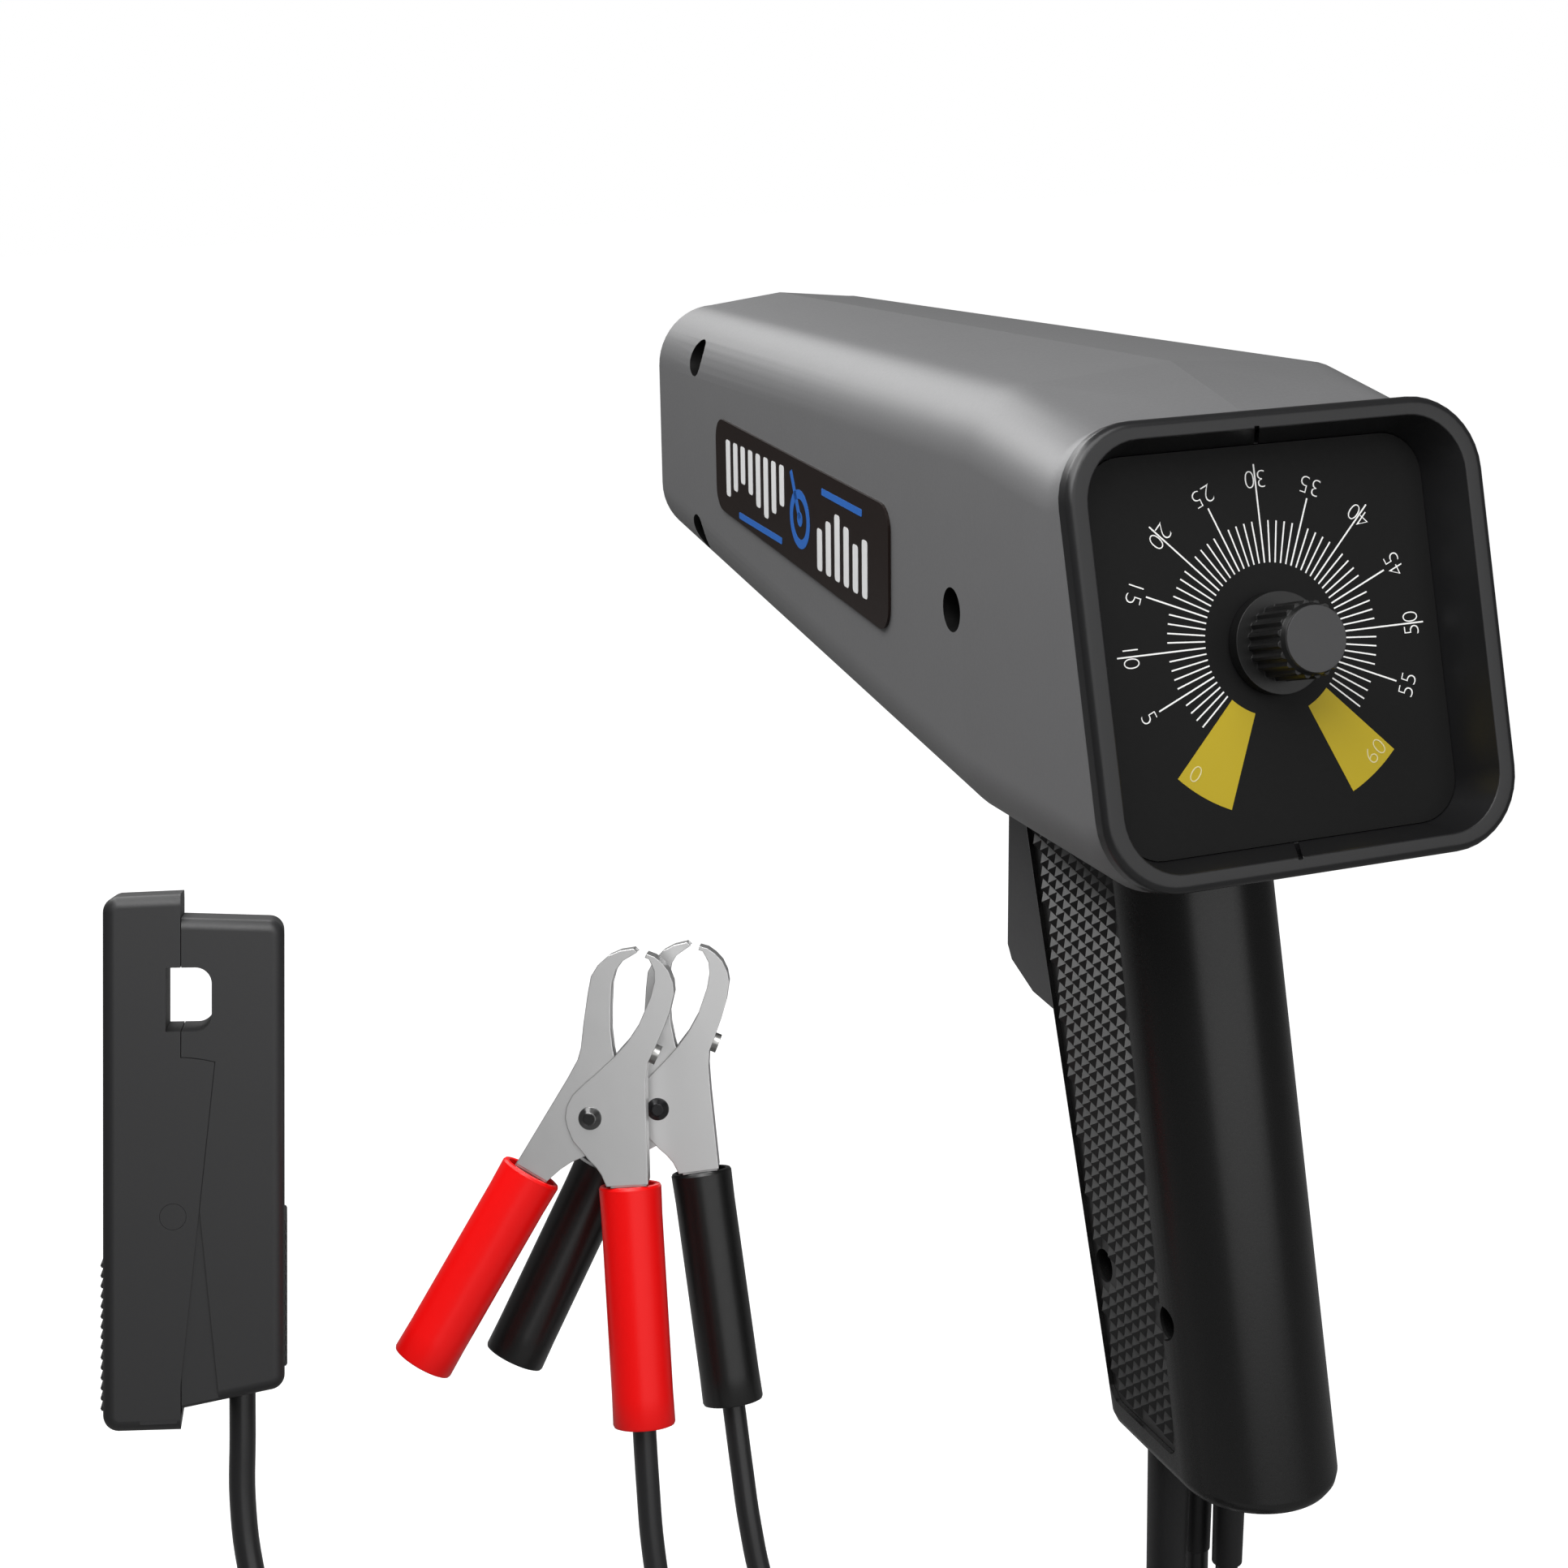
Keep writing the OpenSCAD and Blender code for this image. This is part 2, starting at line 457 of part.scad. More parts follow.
left_out = [
  [-14, -8.6], [-4.3, 7.5], [-2.4, 11], [-1.8, 13.2], [-1.3, 17.8], [-0.5, 23.5], [0.1, 26.7],
  [1.4, 28.8], [3.5, 30.6], [5.6, 31.5], [8.2, 31.9]];
left_in = [
  [8.9, 31.2], [6, 29.5], [4.7, 27.7], [4, 25.2], [3.8, 20.6], [3.8, 16.4], [4.2, 12.9], [5, 9],
  [5.2, 5], [4.9, 1.5], [4.2, -1.8], [3, -4.4], [1.2, -6.3], [-1.1, -7.3], [-3.6, -8.4],
  [-5.7, -9.8], [-8.2, -12]];
fixed_hw = 5;                    // half widths of the two pressed jaws, one inside the other
moving_hw = 4.05;
rivet_r = 1.7;
right_axis = [7.25, -12.8];      // top of the upright sleeve
right_lean = -3.4;
left_axis = [-11.2, -10.4];      // top of the splayed sleeve
left_lean = 30;
function inset(p, d) = [for (i = [0:len(p) - 1]) let (t = p[min(i + 1, len(p) - 1)] - p[max(i - 1, 0)])
  p[i] + d * [t[1], -t[0]] / norm(t)];
module sleeve_at(c, lean) translate([c[0], 0, c[1]]) rotate([0, lean, 0]) children();
// the shank that the sleeve is pushed on, open on one side
module shank() translate([-3.4, -2.6, -13]) difference() {
  cube([6.8, 5.2, 13.4]);
  translate([-1, sheet, -1]) cube([7, 5.2 - 2 * sheet, 16]);
}
module jaw(outer, inner, hw, c, lean, cap_w) difference() {
  union() {
    both_sides(hw - sheet, hw) polygon(concat(outer, inner));
    slab(-hw, hw) polygon(concat(outer, back(inset(outer, sheet))));
    sleeve_at(c, lean) shank();
    sleeve_at(c, lean) translate([-cap_w / 2, 0.1 - hw, -0.2]) cube([cap_w, 2 * hw - 0.2, 0.8]);
  }
  slab(-9, 9) circle(r = rivet_r + 0.05, $fn = 24);
}
module jaw_fixed() jaw(right_out, right_in, fixed_hw, right_axis, right_lean, 6.8);
module jaw_moving() jaw(left_out, left_in, moving_hw, left_axis, left_lean, 6.4);
module rivet() union() {
  slab(-5.6, 5.6) circle(r = rivet_r, $fn = 24);
  for (s = [-1, 1]) translate([0, s * (fixed_hw + 0.02), 0]) rotate([-90 * s, 0, 0])
    cylinder(r1 = 2.2, r2 = 1.2, h = 1.5, $fn = 28);
}
// three turns round the rivet, with a leg against each jaw
spring_path = concat(
  [[-5.4, -2.6, 3.2], [-4, -2.5, 3.4], [-1.8, -2.3, 3.1]],
  [for (i = [0:24]) [3 * cos(90 - 45 * i), -2.2 + 4.4 * i / 24, 3 * sin(90 - 45 * i)]],
  [[2.2, 2.3, 3.1], [5, 2.5, 2.9], [8.8, 2.6, 2.2]]);
module clip_spring() tube(spring_path, 0.8, [0.05, 0.9, 0.2], 6);
// a dipped sleeve, whose foot closes in to the given bore
module sleeve(c, lean, len, bore) sleeve_at(c, lean) translate([0, 0, -0.25 - len]) difference() {
  cylinder(r = sleeve_r, h = len, $fn = 40);
  translate([0, 0, 4]) cylinder(r = 4.75, h = len, $fn = 40);
  translate([0, 0, -1]) cylinder(r = bore, h = 6, $fn = 40);
}
module sleeve_fixed() sleeve(right_axis, right_lean, 46, 2.2);
module sleeve_moving() sleeve(left_axis, left_lean, 42, 4.75);
module terminal_screw() translate([11.5, 0, 11.9]) rotate([0, 116, 0]) union() {
  cylinder(r = 1.9, h = 1.3, $fn = 20);
  translate([0, 0, -3]) cylinder(r = 1, h = 3.1, $fn = 16);
}

module red_jaw_fixed() color("silver") at_red() jaw_fixed();
module red_jaw_moving() color("silver") at_red() jaw_moving();
module red_rivet() color("silver") at_red() rivet();
module red_spring() color("silver") at_red() clip_spring();
module red_sleeve_fixed() color("red") at_red() sleeve_fixed();
module red_sleeve_moving() color("red") at_red() sleeve_moving();
module black_jaw_fixed() color("silver") at_black() jaw_fixed();
module black_jaw_moving() color("silver") at_black() jaw_moving();
module black_rivet() color("dimgray") at_black() rivet();
module black_spring() color("silver") at_black() clip_spring();
module black_sleeve_fixed() color("black") at_black() sleeve_fixed();
module black_sleeve_moving() color("black") at_black() sleeve_moving();
module terminal_screws() color("silver") {
  at_red() terminal_screw();
  at_black() terminal_screw();
}

housing_left();
housing_right();
bezel();
dial_plate();
label_left();
label_right();
knob();
knob_cap();
pot_shaft();
pot_body();
pot_nut();
lens_ring();
lens();
reflector();
flash_tube();
pcb();
capacitor();
transformer();
handle_left();
handle_right();
grip_panel_left();
grip_panel_right();
switch_housing();
trigger();
trigger_pin();
trigger_spring();
microswitch();
housing_screws();
handle_screws();
cable_gland();
pickup_lead_drop();
pickup_lead_coil();
pickup_lead_rise();
red_lead_drop();
red_lead_coil();
red_lead_rise();
black_lead_drop();
black_lead_coil();
black_lead_rise();
cord_ties();
pickup_body();
pickup_lever();
pickup_pin();
pickup_spring();
core_fixed();
core_moving();
red_jaw_fixed();
red_jaw_moving();
red_rivet();
red_spring();
red_sleeve_fixed();
red_sleeve_moving();
black_jaw_fixed();
black_jaw_moving();
black_rivet();
black_spring();
black_sleeve_fixed();
black_sleeve_moving();
terminal_screws();
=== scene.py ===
"""Timing light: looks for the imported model. Lengths are in millimetres until mm() turns them into metres."""
import json
import math

import bmesh
import bpy
from mathutils import Euler, Matrix, Vector


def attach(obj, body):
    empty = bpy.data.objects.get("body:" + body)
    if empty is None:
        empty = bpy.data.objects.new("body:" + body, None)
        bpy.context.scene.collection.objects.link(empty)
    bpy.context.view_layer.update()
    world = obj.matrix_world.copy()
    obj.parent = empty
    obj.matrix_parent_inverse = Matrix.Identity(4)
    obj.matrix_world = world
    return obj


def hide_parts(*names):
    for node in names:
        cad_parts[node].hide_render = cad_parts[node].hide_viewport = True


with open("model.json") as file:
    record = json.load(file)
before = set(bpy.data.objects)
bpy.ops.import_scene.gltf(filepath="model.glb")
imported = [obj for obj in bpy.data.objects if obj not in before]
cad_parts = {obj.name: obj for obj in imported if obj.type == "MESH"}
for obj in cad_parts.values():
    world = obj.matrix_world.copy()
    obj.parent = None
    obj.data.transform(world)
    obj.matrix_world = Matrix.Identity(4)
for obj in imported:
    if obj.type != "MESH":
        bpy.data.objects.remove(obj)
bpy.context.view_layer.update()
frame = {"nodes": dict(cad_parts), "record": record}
nodes = frame["nodes"]


def mm(*v):
    return Vector(v) / 1000


# --- places shared with the CAD -----------------------------------------------------------
FACE = Matrix.Translation(mm(0, -28, 115)) @ Matrix.Rotation(math.radians(73.5), 4, "X")
TURN = Euler((math.radians(-17.2), math.radians(0.8), math.radians(-21.9)), "XYZ").to_matrix().to_4x4()
PICKUP = Matrix.Translation(mm(-189.2, 58.3, 4.5)) @ TURN @ Matrix.Rotation(math.radians(10), 4, "Z")
RED = Matrix.Translation(mm(-113.6, 33.4, 20.1)) @ TURN
BLACK = Matrix.Translation(mm(-96.2, 44.8, 14.3)) @ TURN @ Matrix.Rotation(math.radians(-4.5), 4, "Y")
FLOOR = -140.5
# The rim: its outline, how deep the dial plate and the barrel's edge lie, and the rounding of its edges.
BEZEL_W, BEZEL_H, BEZEL_R = 84, 82, 14
PLATE_DEPTH, LIP, RIM = 9, 3.6, 1.5
# The barrel: the kink in its roof, its front end and its wall, then the lens in that end.
KINK_Y, FRONT_Y, WALL = 20, 218, 2.6
LENS_Z, LENS_BORE_R = 116.5, 24.1
# Screws are (y, z) places; the bores take a head, the bosses stand round the barrel's screws.
HOUSING_SCREWS = [(26, 113), (187, 137.5), (187, 95.8)]
HANDLE_SCREWS = [(11, -21), (-15, -21)]
HOUSING_BORE_R, SHANK_R, BOSS_R, HANDLE_BORE_R = 4.25, 1.7, 5.6, 3.4
SIDES = ((-1, "left"), (1, "right"))


# --- camera -------------------------------------------------------------------------------
def make_camera():
    data = bpy.data.cameras.new("camera")
    data.lens = 65.22
    data.sensor_width = 36
    cam = bpy.data.objects.new("camera", data)
    bpy.context.scene.collection.objects.link(cam)
    right = Vector((0.92752, -0.3735, -0.0143)).normalized()
    look = Vector((0.35289, 0.88765, -0.29588)).normalized()
    up = right.cross(look)
    turn = Matrix((right, up, -look)).transposed().to_4x4()
    cam.matrix_world = Matrix.Translation(mm(-262.5, -442.6, 239.5)) @ turn
    bpy.context.scene.camera = cam


# --- materials ----------------------------------------------------------------------------
def linear(grey):
    grey = grey / 255
    return grey / 12.92 if grey < 0.04045 else ((grey + 0.055) / 1.055) ** 2.4


def rgb(r, g, b):
    return (linear(r), linear(g), linear(b), 1)


def surface(name, colour, rough=0.5, metal=0.0, grain=400, bump=0.05, vary=0.08, edge=0.0, coat=0.0,
            stretch=(1, 1, 1), **extra):
    """Principled surface with a fine grain, slow colour and gloss variation, and softened edges."""
    mat = bpy.data.materials.new(name)
    mat.use_nodes = True
    tree = mat.node_tree
    bsdf = tree.nodes["Principled BSDF"]
    link = tree.links.new
    where = tree.nodes.new("ShaderNodeTexCoord")
    scale = tree.nodes.new("ShaderNodeMapping")
    scale.inputs["Scale"].default_value = stretch
    link(where.outputs["Object"], scale.inputs["Vector"])
    fine = tree.nodes.new("ShaderNodeTexNoise")
    fine.inputs["Scale"].default_value = grain
    fine.inputs["Detail"].default_value = 3
    slow = tree.nodes.new("ShaderNodeTexNoise")
    slow.inputs["Scale"].default_value = grain / 18
    for noise in (fine, slow):
        link(scale.outputs["Vector"], noise.inputs["Vector"])
    tint = tree.nodes.new("ShaderNodeMix")
    tint.data_type = "RGBA"
    tint.inputs["A"].default_value = [c * (1 - vary) for c in colour[:3]] + [1]
    tint.inputs["B"].default_value = [min(1, c * (1 + vary)) for c in colour[:3]] + [1]
    link(slow.outputs["Fac"], tint.inputs["Factor"])
    link(tint.outputs["Result"], bsdf.inputs["Base Color"])
    gloss = tree.nodes.new("ShaderNodeMapRange")
    gloss.inputs["To Min"].default_value = rough * 0.88
    gloss.inputs["To Max"].default_value = min(1, rough * 1.12)
    link(fine.outputs["Fac"], gloss.inputs["Value"])
    link(gloss.outputs["Result"], bsdf.inputs["Roughness"])
    relief = tree.nodes.new("ShaderNodeBump")
    relief.inputs["Strength"].default_value = bump
    relief.inputs["Distance"].default_value = 0.0003
    link(fine.outputs["Fac"], relief.inputs["Height"])
    if edge:
        soft = tree.nodes.new("ShaderNodeBevel")
        soft.samples = 6
        soft.inputs["Radius"].default_value = edge / 1000
        link(soft.outputs["Normal"], relief.inputs["Normal"])
    link(relief.outputs["Normal"], bsdf.inputs["Normal"])
    bsdf.inputs["Metallic"].default_value = metal
    bsdf.inputs["Coat Weight"].default_value = coat
    bsdf.inputs["Coat Roughness"].default_value = 0.25
    for key, value in extra.items():
        bsdf.inputs[key.replace("_", " ")].default_value = value
    return mat


CLEAR = {"Transmission_Weight": 1.0, "IOR": 1.49, "bump": 0.01}
MAT = {
    "barrel_grey": surface("barrel_grey", rgb(106, 106, 107), 0.42, grain=1500, bump=0.05, vary=0.03),
    "rim_grey": surface("rim_grey", rgb(27, 27, 28), 0.3, grain=1500, bump=0.03, vary=0.04, edge=0.3),
    "dial_black": surface("dial_black", rgb(20, 20, 20), 0.5, grain=900, bump=0.02, Specular_IOR_Level=0.15),
    "dial_white": surface("dial_white", rgb(252, 252, 250), 0.6, grain=900, bump=0.02, vary=0.03),
    "dial_yellow": surface("dial_yellow", rgb(186, 163, 20), 0.6, grain=900, bump=0.02, vary=0.03),
    "dial_pale": surface("dial_pale", rgb(222, 212, 160), 0.6, grain=900, bump=0.02, vary=0.03),
    # Painted shade: a near-black colour for the inside of the screw bores.
    "bore_painted_shade": surface("bore_painted_shade", rgb(12, 12, 12), 0.5, grain=900, bump=0.02, Specular_IOR_Level=0.2),
    "label_film": surface("label_film", rgb(28, 19, 16), 0.3, grain=700, bump=0.02, Specular_IOR_Level=0.3),
    "label_white": surface("label_white", rgb(235, 235, 235), 0.4, grain=700, bump=0.02, vary=0.03),
    "label_blue": surface("label_blue", rgb(40, 104, 190), 0.4, grain=700, bump=0.02, vary=0.05),
    "knob_black": surface("knob_black", rgb(20, 20, 20), 0.36, grain=1200, edge=0.2),
    "knob_grey": surface("knob_grey", rgb(60, 60, 61), 0.45, grain=1200, edge=0.2),
    "steel": surface("steel", rgb(190, 190, 188), 0.3, metal=1, grain=500, edge=0.15),
    "spring_steel": surface("spring_steel", rgb(170, 170, 170), 0.25, metal=1, grain=500),
    "clear_lens": surface("clear_lens", rgb(240, 246, 250), 0.04, grain=200, **CLEAR),
    "reflector_chrome": surface("reflector_chrome", rgb(235, 235, 235), 0.06, metal=1, grain=300, bump=0.01),
    "xenon_glass": surface("xenon_glass", rgb(240, 240, 245), 0.05, grain=300, **CLEAR),
    "board_green": surface("board_green", rgb(20, 90, 45), 0.35, grain=900, coat=0.3),
    "can_blue": surface("can_blue", rgb(25, 35, 90), 0.3, grain=600),
    "winding": surface("winding", rgb(190, 150, 60), 0.35, grain=1400, stretch=(1, 1, 8), bump=0.3),
    "grip_black": surface("grip_black", rgb(18, 18, 18), 0.28, grain=1500, bump=0.02, vary=0.04),
    "knurl_black": surface("knurl_black", rgb(27, 27, 27), 0.32, grain=1600, bump=0.03),
    "trigger_grey": surface("trigger_grey", rgb(74, 74, 75), 0.42, grain=1500, bump=0.04, edge=0.5),
    "switch_black": surface("switch_black", rgb(28, 28, 28), 0.4, grain=900, edge=0.2),
    "screw_steel": surface("screw_steel", rgb(110, 110, 112), 0.35, metal=1, grain=500, edge=0.1),
    "gland_rubber": surface("gland_rubber", rgb(26, 26, 27), 0.45, grain=1300, bump=0.08, edge=0.3),
    "lead_black": surface("lead_black", rgb(34, 34, 35), 0.34, grain=900, bump=0.03, coat=0.2),
    "tie_black": surface("tie_black", rgb(26, 26, 26), 0.3, grain=900),
    "pickup_black": surface("pickup_black", rgb(36, 36, 37), 0.46, grain=1500, bump=0.03, vary=0.04),
    "ferrite": surface("ferrite", rgb(60, 60, 64), 0.6, grain=1800, bump=0.2, edge=0.2),
    "clip_steel": surface("clip_steel", rgb(212, 212, 212), 0.3, metal=0.9, grain=260, bump=0.03, edge=0.25),
    "rivet_chrome": surface("rivet_chrome", rgb(110, 110, 110), 0.08, metal=1, grain=400, bump=0.01,
                            edge=0.4),
    "rivet_dark": surface("rivet_dark", rgb(34, 34, 36), 0.2, metal=0.5, grain=400, bump=0.01, edge=0.4),
    "sleeve_red": surface("sleeve_red", rgb(250, 10, 10), 0.35, grain=700, bump=0.02, vary=0.03,
                          Specular_IOR_Level=0.35),
    "sleeve_black": surface("sleeve_black", rgb(20, 20, 20), 0.33, grain=700, bump=0.02, coat=0.1),
    "stage_white": surface("stage_white", (0.3, 0.3, 0.3, 1), 0.9, grain=20, bump=0.0, vary=0.005),
}


def finish_cad_nodes():
    for part in frame["record"]["subparts"]:
        mesh = nodes[part["node"]].data
        mesh.materials.clear()
        mesh.materials.append(MAT[part["material_slot"]])


# --- mesh helpers -------------------------------------------------------------------------
def piece(name, verts, faces, material, body="gun", place=Matrix.Identity(4), sharp=30, slot=None,
          replaces=()):
    """Makes a closed or thin mesh from points in millimetres, moved by place, riding on a body."""
    mesh = bpy.data.meshes.new(name)
    mesh.from_pydata([place @ mm(*v) for v in verts], [], faces)
    obj = bpy.data.objects.new(name, mesh)
    bpy.context.scene.collection.objects.link(obj)
    mesh.materials.append(MAT[material])
    shade(obj, sharp)
    if body:
        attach(obj, body)
    if replaces:
        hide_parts(*replaces)
    return obj


def shade(obj, sharp):
    """Merges doubled points and smooths every edge that turns by less than sharp degrees."""
    bm = bmesh.new()
    bm.from_mesh(obj.data)
    bmesh.ops.remove_doubles(bm, verts=bm.verts, dist=1e-6)
    bmesh.ops.recalc_face_normals(bm, faces=bm.faces)
    for face in bm.faces:
        face.smooth = True
    for e in bm.edges:
        e.smooth = len(e.link_faces) == 2 and e.calc_face_angle() < math.radians(sharp)
    bm.to_mesh(obj.data)
    bm.free()


def apply_modifiers(obj):
    bpy.context.view_layer.update()
    made = bpy.data.meshes.new_from_object(obj.evaluated_get(bpy.context.evaluated_depsgraph_get()))
    obj.modifiers.clear()
    obj.data = made


def combine(obj, other, how="DIFFERENCE", sharp=30):
    """Applies a boolean with another mesh, which is then removed."""
    mod = obj.modifiers.new("combine", "BOOLEAN")
    mod.operation = how
    mod.solver = "EXACT"
    mod.object = other
    apply_modifiers(obj)
    bpy.data.objects.remove(other)
    shade(obj, sharp)


def paint(obj, material, chosen):
    """Gives the faces that chosen picks by their centre, in millimetres, a second material."""
    obj.data.materials.append(MAT[material])
    for face in obj.data.polygons:
        if chosen(face.center * 1000):
            face.material_index = 1


def even_normals(obj):
    """Lets the large flat faces set the normals, so that roundings blend into them cleanly."""
    mod = obj.modifiers.new("even", "WEIGHTED_NORMAL")
    mod.keep_sharp = True
    apply_modifiers(obj)


def loft(rings, loop=False):
    """Skins rings of equal point count; the ends are capped unless the rings loop."""
    n = len(rings[0])
    verts = [v for ring in rings for v in ring]
    last = len(rings) if loop else len(rings) - 1
    faces = []
    for i in range(last):
        a, b = i * n, ((i + 1) % len(rings)) * n
        faces += [(a + k, a + (k + 1) % n, b + (k + 1) % n, b + k) for k in range(n)]
    if not loop:
        faces += [tuple(range(n - 1, -1, -1)), tuple(range(last * n, last * n + n))]
    return verts, faces


def arc(cx, cy, r, a0, a1, n):
    steps = [math.radians(a0 + (a1 - a0) * i / n) for i in range(n + 1)]
    return [(cx + r * math.cos(a), cy + r * math.sin(a)) for a in steps]


def fillet(outline, radii, n=6):
    """Rounds the corners of a polygon; a radius of 0 leaves a corner sharp."""
    points = []
    for i, r in enumerate(radii):
        corner = Vector(outline[i])
        back = (Vector(outline[i - 1]) - corner).normalized()
        on = (Vector(outline[(i + 1) % len(outline)]) - corner).normalized()
        if not r:
            points.append(tuple(corner))
            continue
        half = back.angle(on) / 2
        centre = corner + (back + on).normalized() * (r / math.sin(half))
        start = corner + back * (r / math.tan(half)) - centre
        end = corner + on * (r / math.tan(half)) - centre
        for k in range(n + 1):
            step = start.lerp(end, k / n).normalized() * r
            points.append(tuple(centre + step))
    return points


def rrect(w, h, r, n=12, cy=0):
    x, y = w / 2 - r, h / 2 - r
    return (arc(x, cy + y, r, 0, 90, n) + arc(-x, cy + y, r, 90, 180, n)
            + arc(-x, cy - y, r, 180, 270, n) + arc(x, cy - y, r, 270, 360, n))


def prism(outline, axis, a, b):
    """Pushes an outline from a to b along an axis; its points are y-z for x, x-z for y and x-y for z."""
    if axis == "x":
        rings = [[(t, p, q) for p, q in outline] for t in (a, b)]
    elif axis == "y":
        rings = [[(p, t, q) for p, q in outline] for t in (a, b)]
    else:
        rings = [[(p, q, t) for p, q in outline] for t in (a, b)]
    return loft(rings)


def rod(y, z, r, x0, x1):
    """A round bar along X."""
    return prism(arc(y, z, r, 0, 348.75, 31), "x", x0, x1)


def tool(verts_faces, place=Matrix.Identity(4)):
    return piece("tool", *verts_faces, "steel", body=None, place=place)


def lathe(profile, n):
    """Stacks circles of (radius, height) along local Z, capped at both ends."""
    turns = [2 * math.pi * k / n for k in range(n)]
    return loft([[(r * math.cos(a), r * math.sin(a), h) for a in turns] for r, h in profile])


def spin(profile, n):
    """Sweeps a closed (radius, height) outline round local Z."""
    turns = [2 * math.pi * k / n for k in range(n)]
    return loft([[(r * math.cos(a), r * math.sin(a), h) for r, h in profile] for a in turns], loop=True)


# --- leads --------------------------------------------------------------------------------
# Each lead: diameter, the coil's centre, radius, first angle and turning in degrees, the seats that its
# turns take round the middle one (angles in the coil's section), and the routes to it and from it.
LEADS = {
    "pickup": {
        "d": 5, "coil": (-180, -60, -132.5), "r": 27.5, "start": 98, "sweep": 2082,
        "seats": [-90, None, 210, 150, 90, 30],
        "drop": [(1.1, -1, -82), (1.1, -1, -92), (0.6, -0.3, -103), (-2.5, 1.8, -114), (-9, 5, -124),
                 (-19, 8.5, -131), (-31.5, 11, -135.5), (-46, 12.5, -137.2), (-64, 13, -137.5),
                 (-84, 12, -137.5), (-104, 9.3, -137.5), (-124, 3.8, -137.5), (-143, -7, -137.5),
                 (-163, -18.5, -137.5), (-183, -30, -136)],
        "rise": [(-152.5, -50, -129.5), (-152.7, -38, -128.5), (-153.8, -26, -126.5), (-156.5, -13.5, -122),
                 (-161, -2, -115), (-167, 9, -106), (-173.5, 17.5, -96), (-179, 24.5, -85.5),
                 (-182.5, 31, -74), (-184, 36.6, -62), (-183.8, 40.6, -50), (-182.3, 43.8, -38),
                 (-180.2, 48.6, -21.1)]},
    "red": {
        "d": 4.5, "coil": (-102, -60, -133), "r": 26, "start": 96, "sweep": 2439,
        "seats": [-90, -30, None, 210, 150, 90, 30],
        "drop": [(-8.6, -6, -82), (-8.6, -6, -93), (-9.5, -6.2, -105), (-13.5, -6.8, -116),
                 (-21, -8, -125.5), (-31.5, -9.5, -132), (-44, -12.3, -136), (-59, -17, -137.7),
                 (-75, -22.6, -137.7), (-91, -28.3, -137.2), (-104, -33, -136)],
        "rise": [(-76, -53, -130), (-77, -43, -128.5), (-80.5, -32, -124.5), (-86.5, -22.5, -118),
                 (-93.5, -15, -110), (-100.5, -9, -101), (-106.5, -4, -91), (-110.5, 0.3, -80.5),
                 (-112.3, 4, -69.5), (-112.8, 7.3, -58.5), (-112.3, 10.7, -47), (-111.6, 13.9, -36.1),
                 (-110.9, 16.8, -26.5)]},
    "black": {
        "d": 4.5, "coil": (-24, -60, -133), "r": 26, "start": 12, "sweep": -2367,
        "seats": [-90, -30, None, 210, 150, 90, 30],
        "drop": [(4.2, -8, -82), (4.2, -8, -92), (4.2, -9.3, -104), (4.1, -14, -115), (3.9, -22, -124.5),
                 (3.5, -32, -131.5), (3, -43, -135), (2.3, -53, -136)],
        "rise": [(-50, -53, -130.5), (-51.5, -40, -128.5), (-56, -28, -125), (-62, -18, -119.5),
                 (-69, -10, -112.5), (-76, -3.5, -104.5), (-82, 2, -95.5), (-86.5, 7, -85.5),
                 (-89, 11.5, -75), (-89.9, 15.5, -64), (-89.9, 19.6, -53), (-89.8, 23.8, -41.1),
                 (-89.9, 27, -31.6)]},
}
STEP = 20


def coil_turns(lead):
    """Turns on and beside each other: each moves to the next seat over the last sixth of a turn."""
    cx, cy, cz = lead["coil"]
    spots = []
    for seat in lead["seats"]:
        a = math.radians(seat or 0)
        spots.append((0, 0) if seat is None else (lead["d"] * math.cos(a), lead["d"] * math.sin(a)))
    points = []
    for i in range(1, int(abs(lead["sweep"]) / STEP)):
        turned = i * STEP
        seat = min(int(turned / 360), len(spots) - 1)
        after = min(seat + 1, len(spots) - 1)
        t = max(0.0, (turned % 360 - 300) / 60)
        t = t * t * (3 - 2 * t)
        dr = spots[seat][0] * (1 - t) + spots[after][0] * t
        dz = spots[seat][1] * (1 - t) + spots[after][1] * t
        a = math.radians(lead["start"] + math.copysign(turned, lead["sweep"]))
        points.append((cx + (lead["r"] + dr) * math.cos(a), cy + (lead["r"] + dr) * math.sin(a), cz + dz))
    return points


def make_lead(name, lead):
    points = lead["drop"][:-1] + coil_turns(lead) + lead["rise"][1:]
    curve = bpy.data.curves.new(name + "_lead", "CURVE")
    curve.dimensions = "3D"
    curve.resolution_u = 5
    curve.bevel_depth = lead["d"] / 2000
    curve.bevel_resolution = 5
    spline = curve.splines.new("BEZIER")
    spline.bezier_points.add(len(points) - 1)
    for knot, point in zip(spline.bezier_points, points):
        knot.co = mm(*point)
        knot.handle_left_type = knot.handle_right_type = "AUTO"
    obj = bpy.data.objects.new(name + "_lead", curve)
    bpy.context.scene.collection.objects.link(obj)
    curve.materials.append(MAT["lead_black"])
    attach(obj, "gun")
    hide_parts(*[f"{name}_lead_{part}" for part in ("drop", "coil", "rise")])
    tie = make_tie(name, lead)


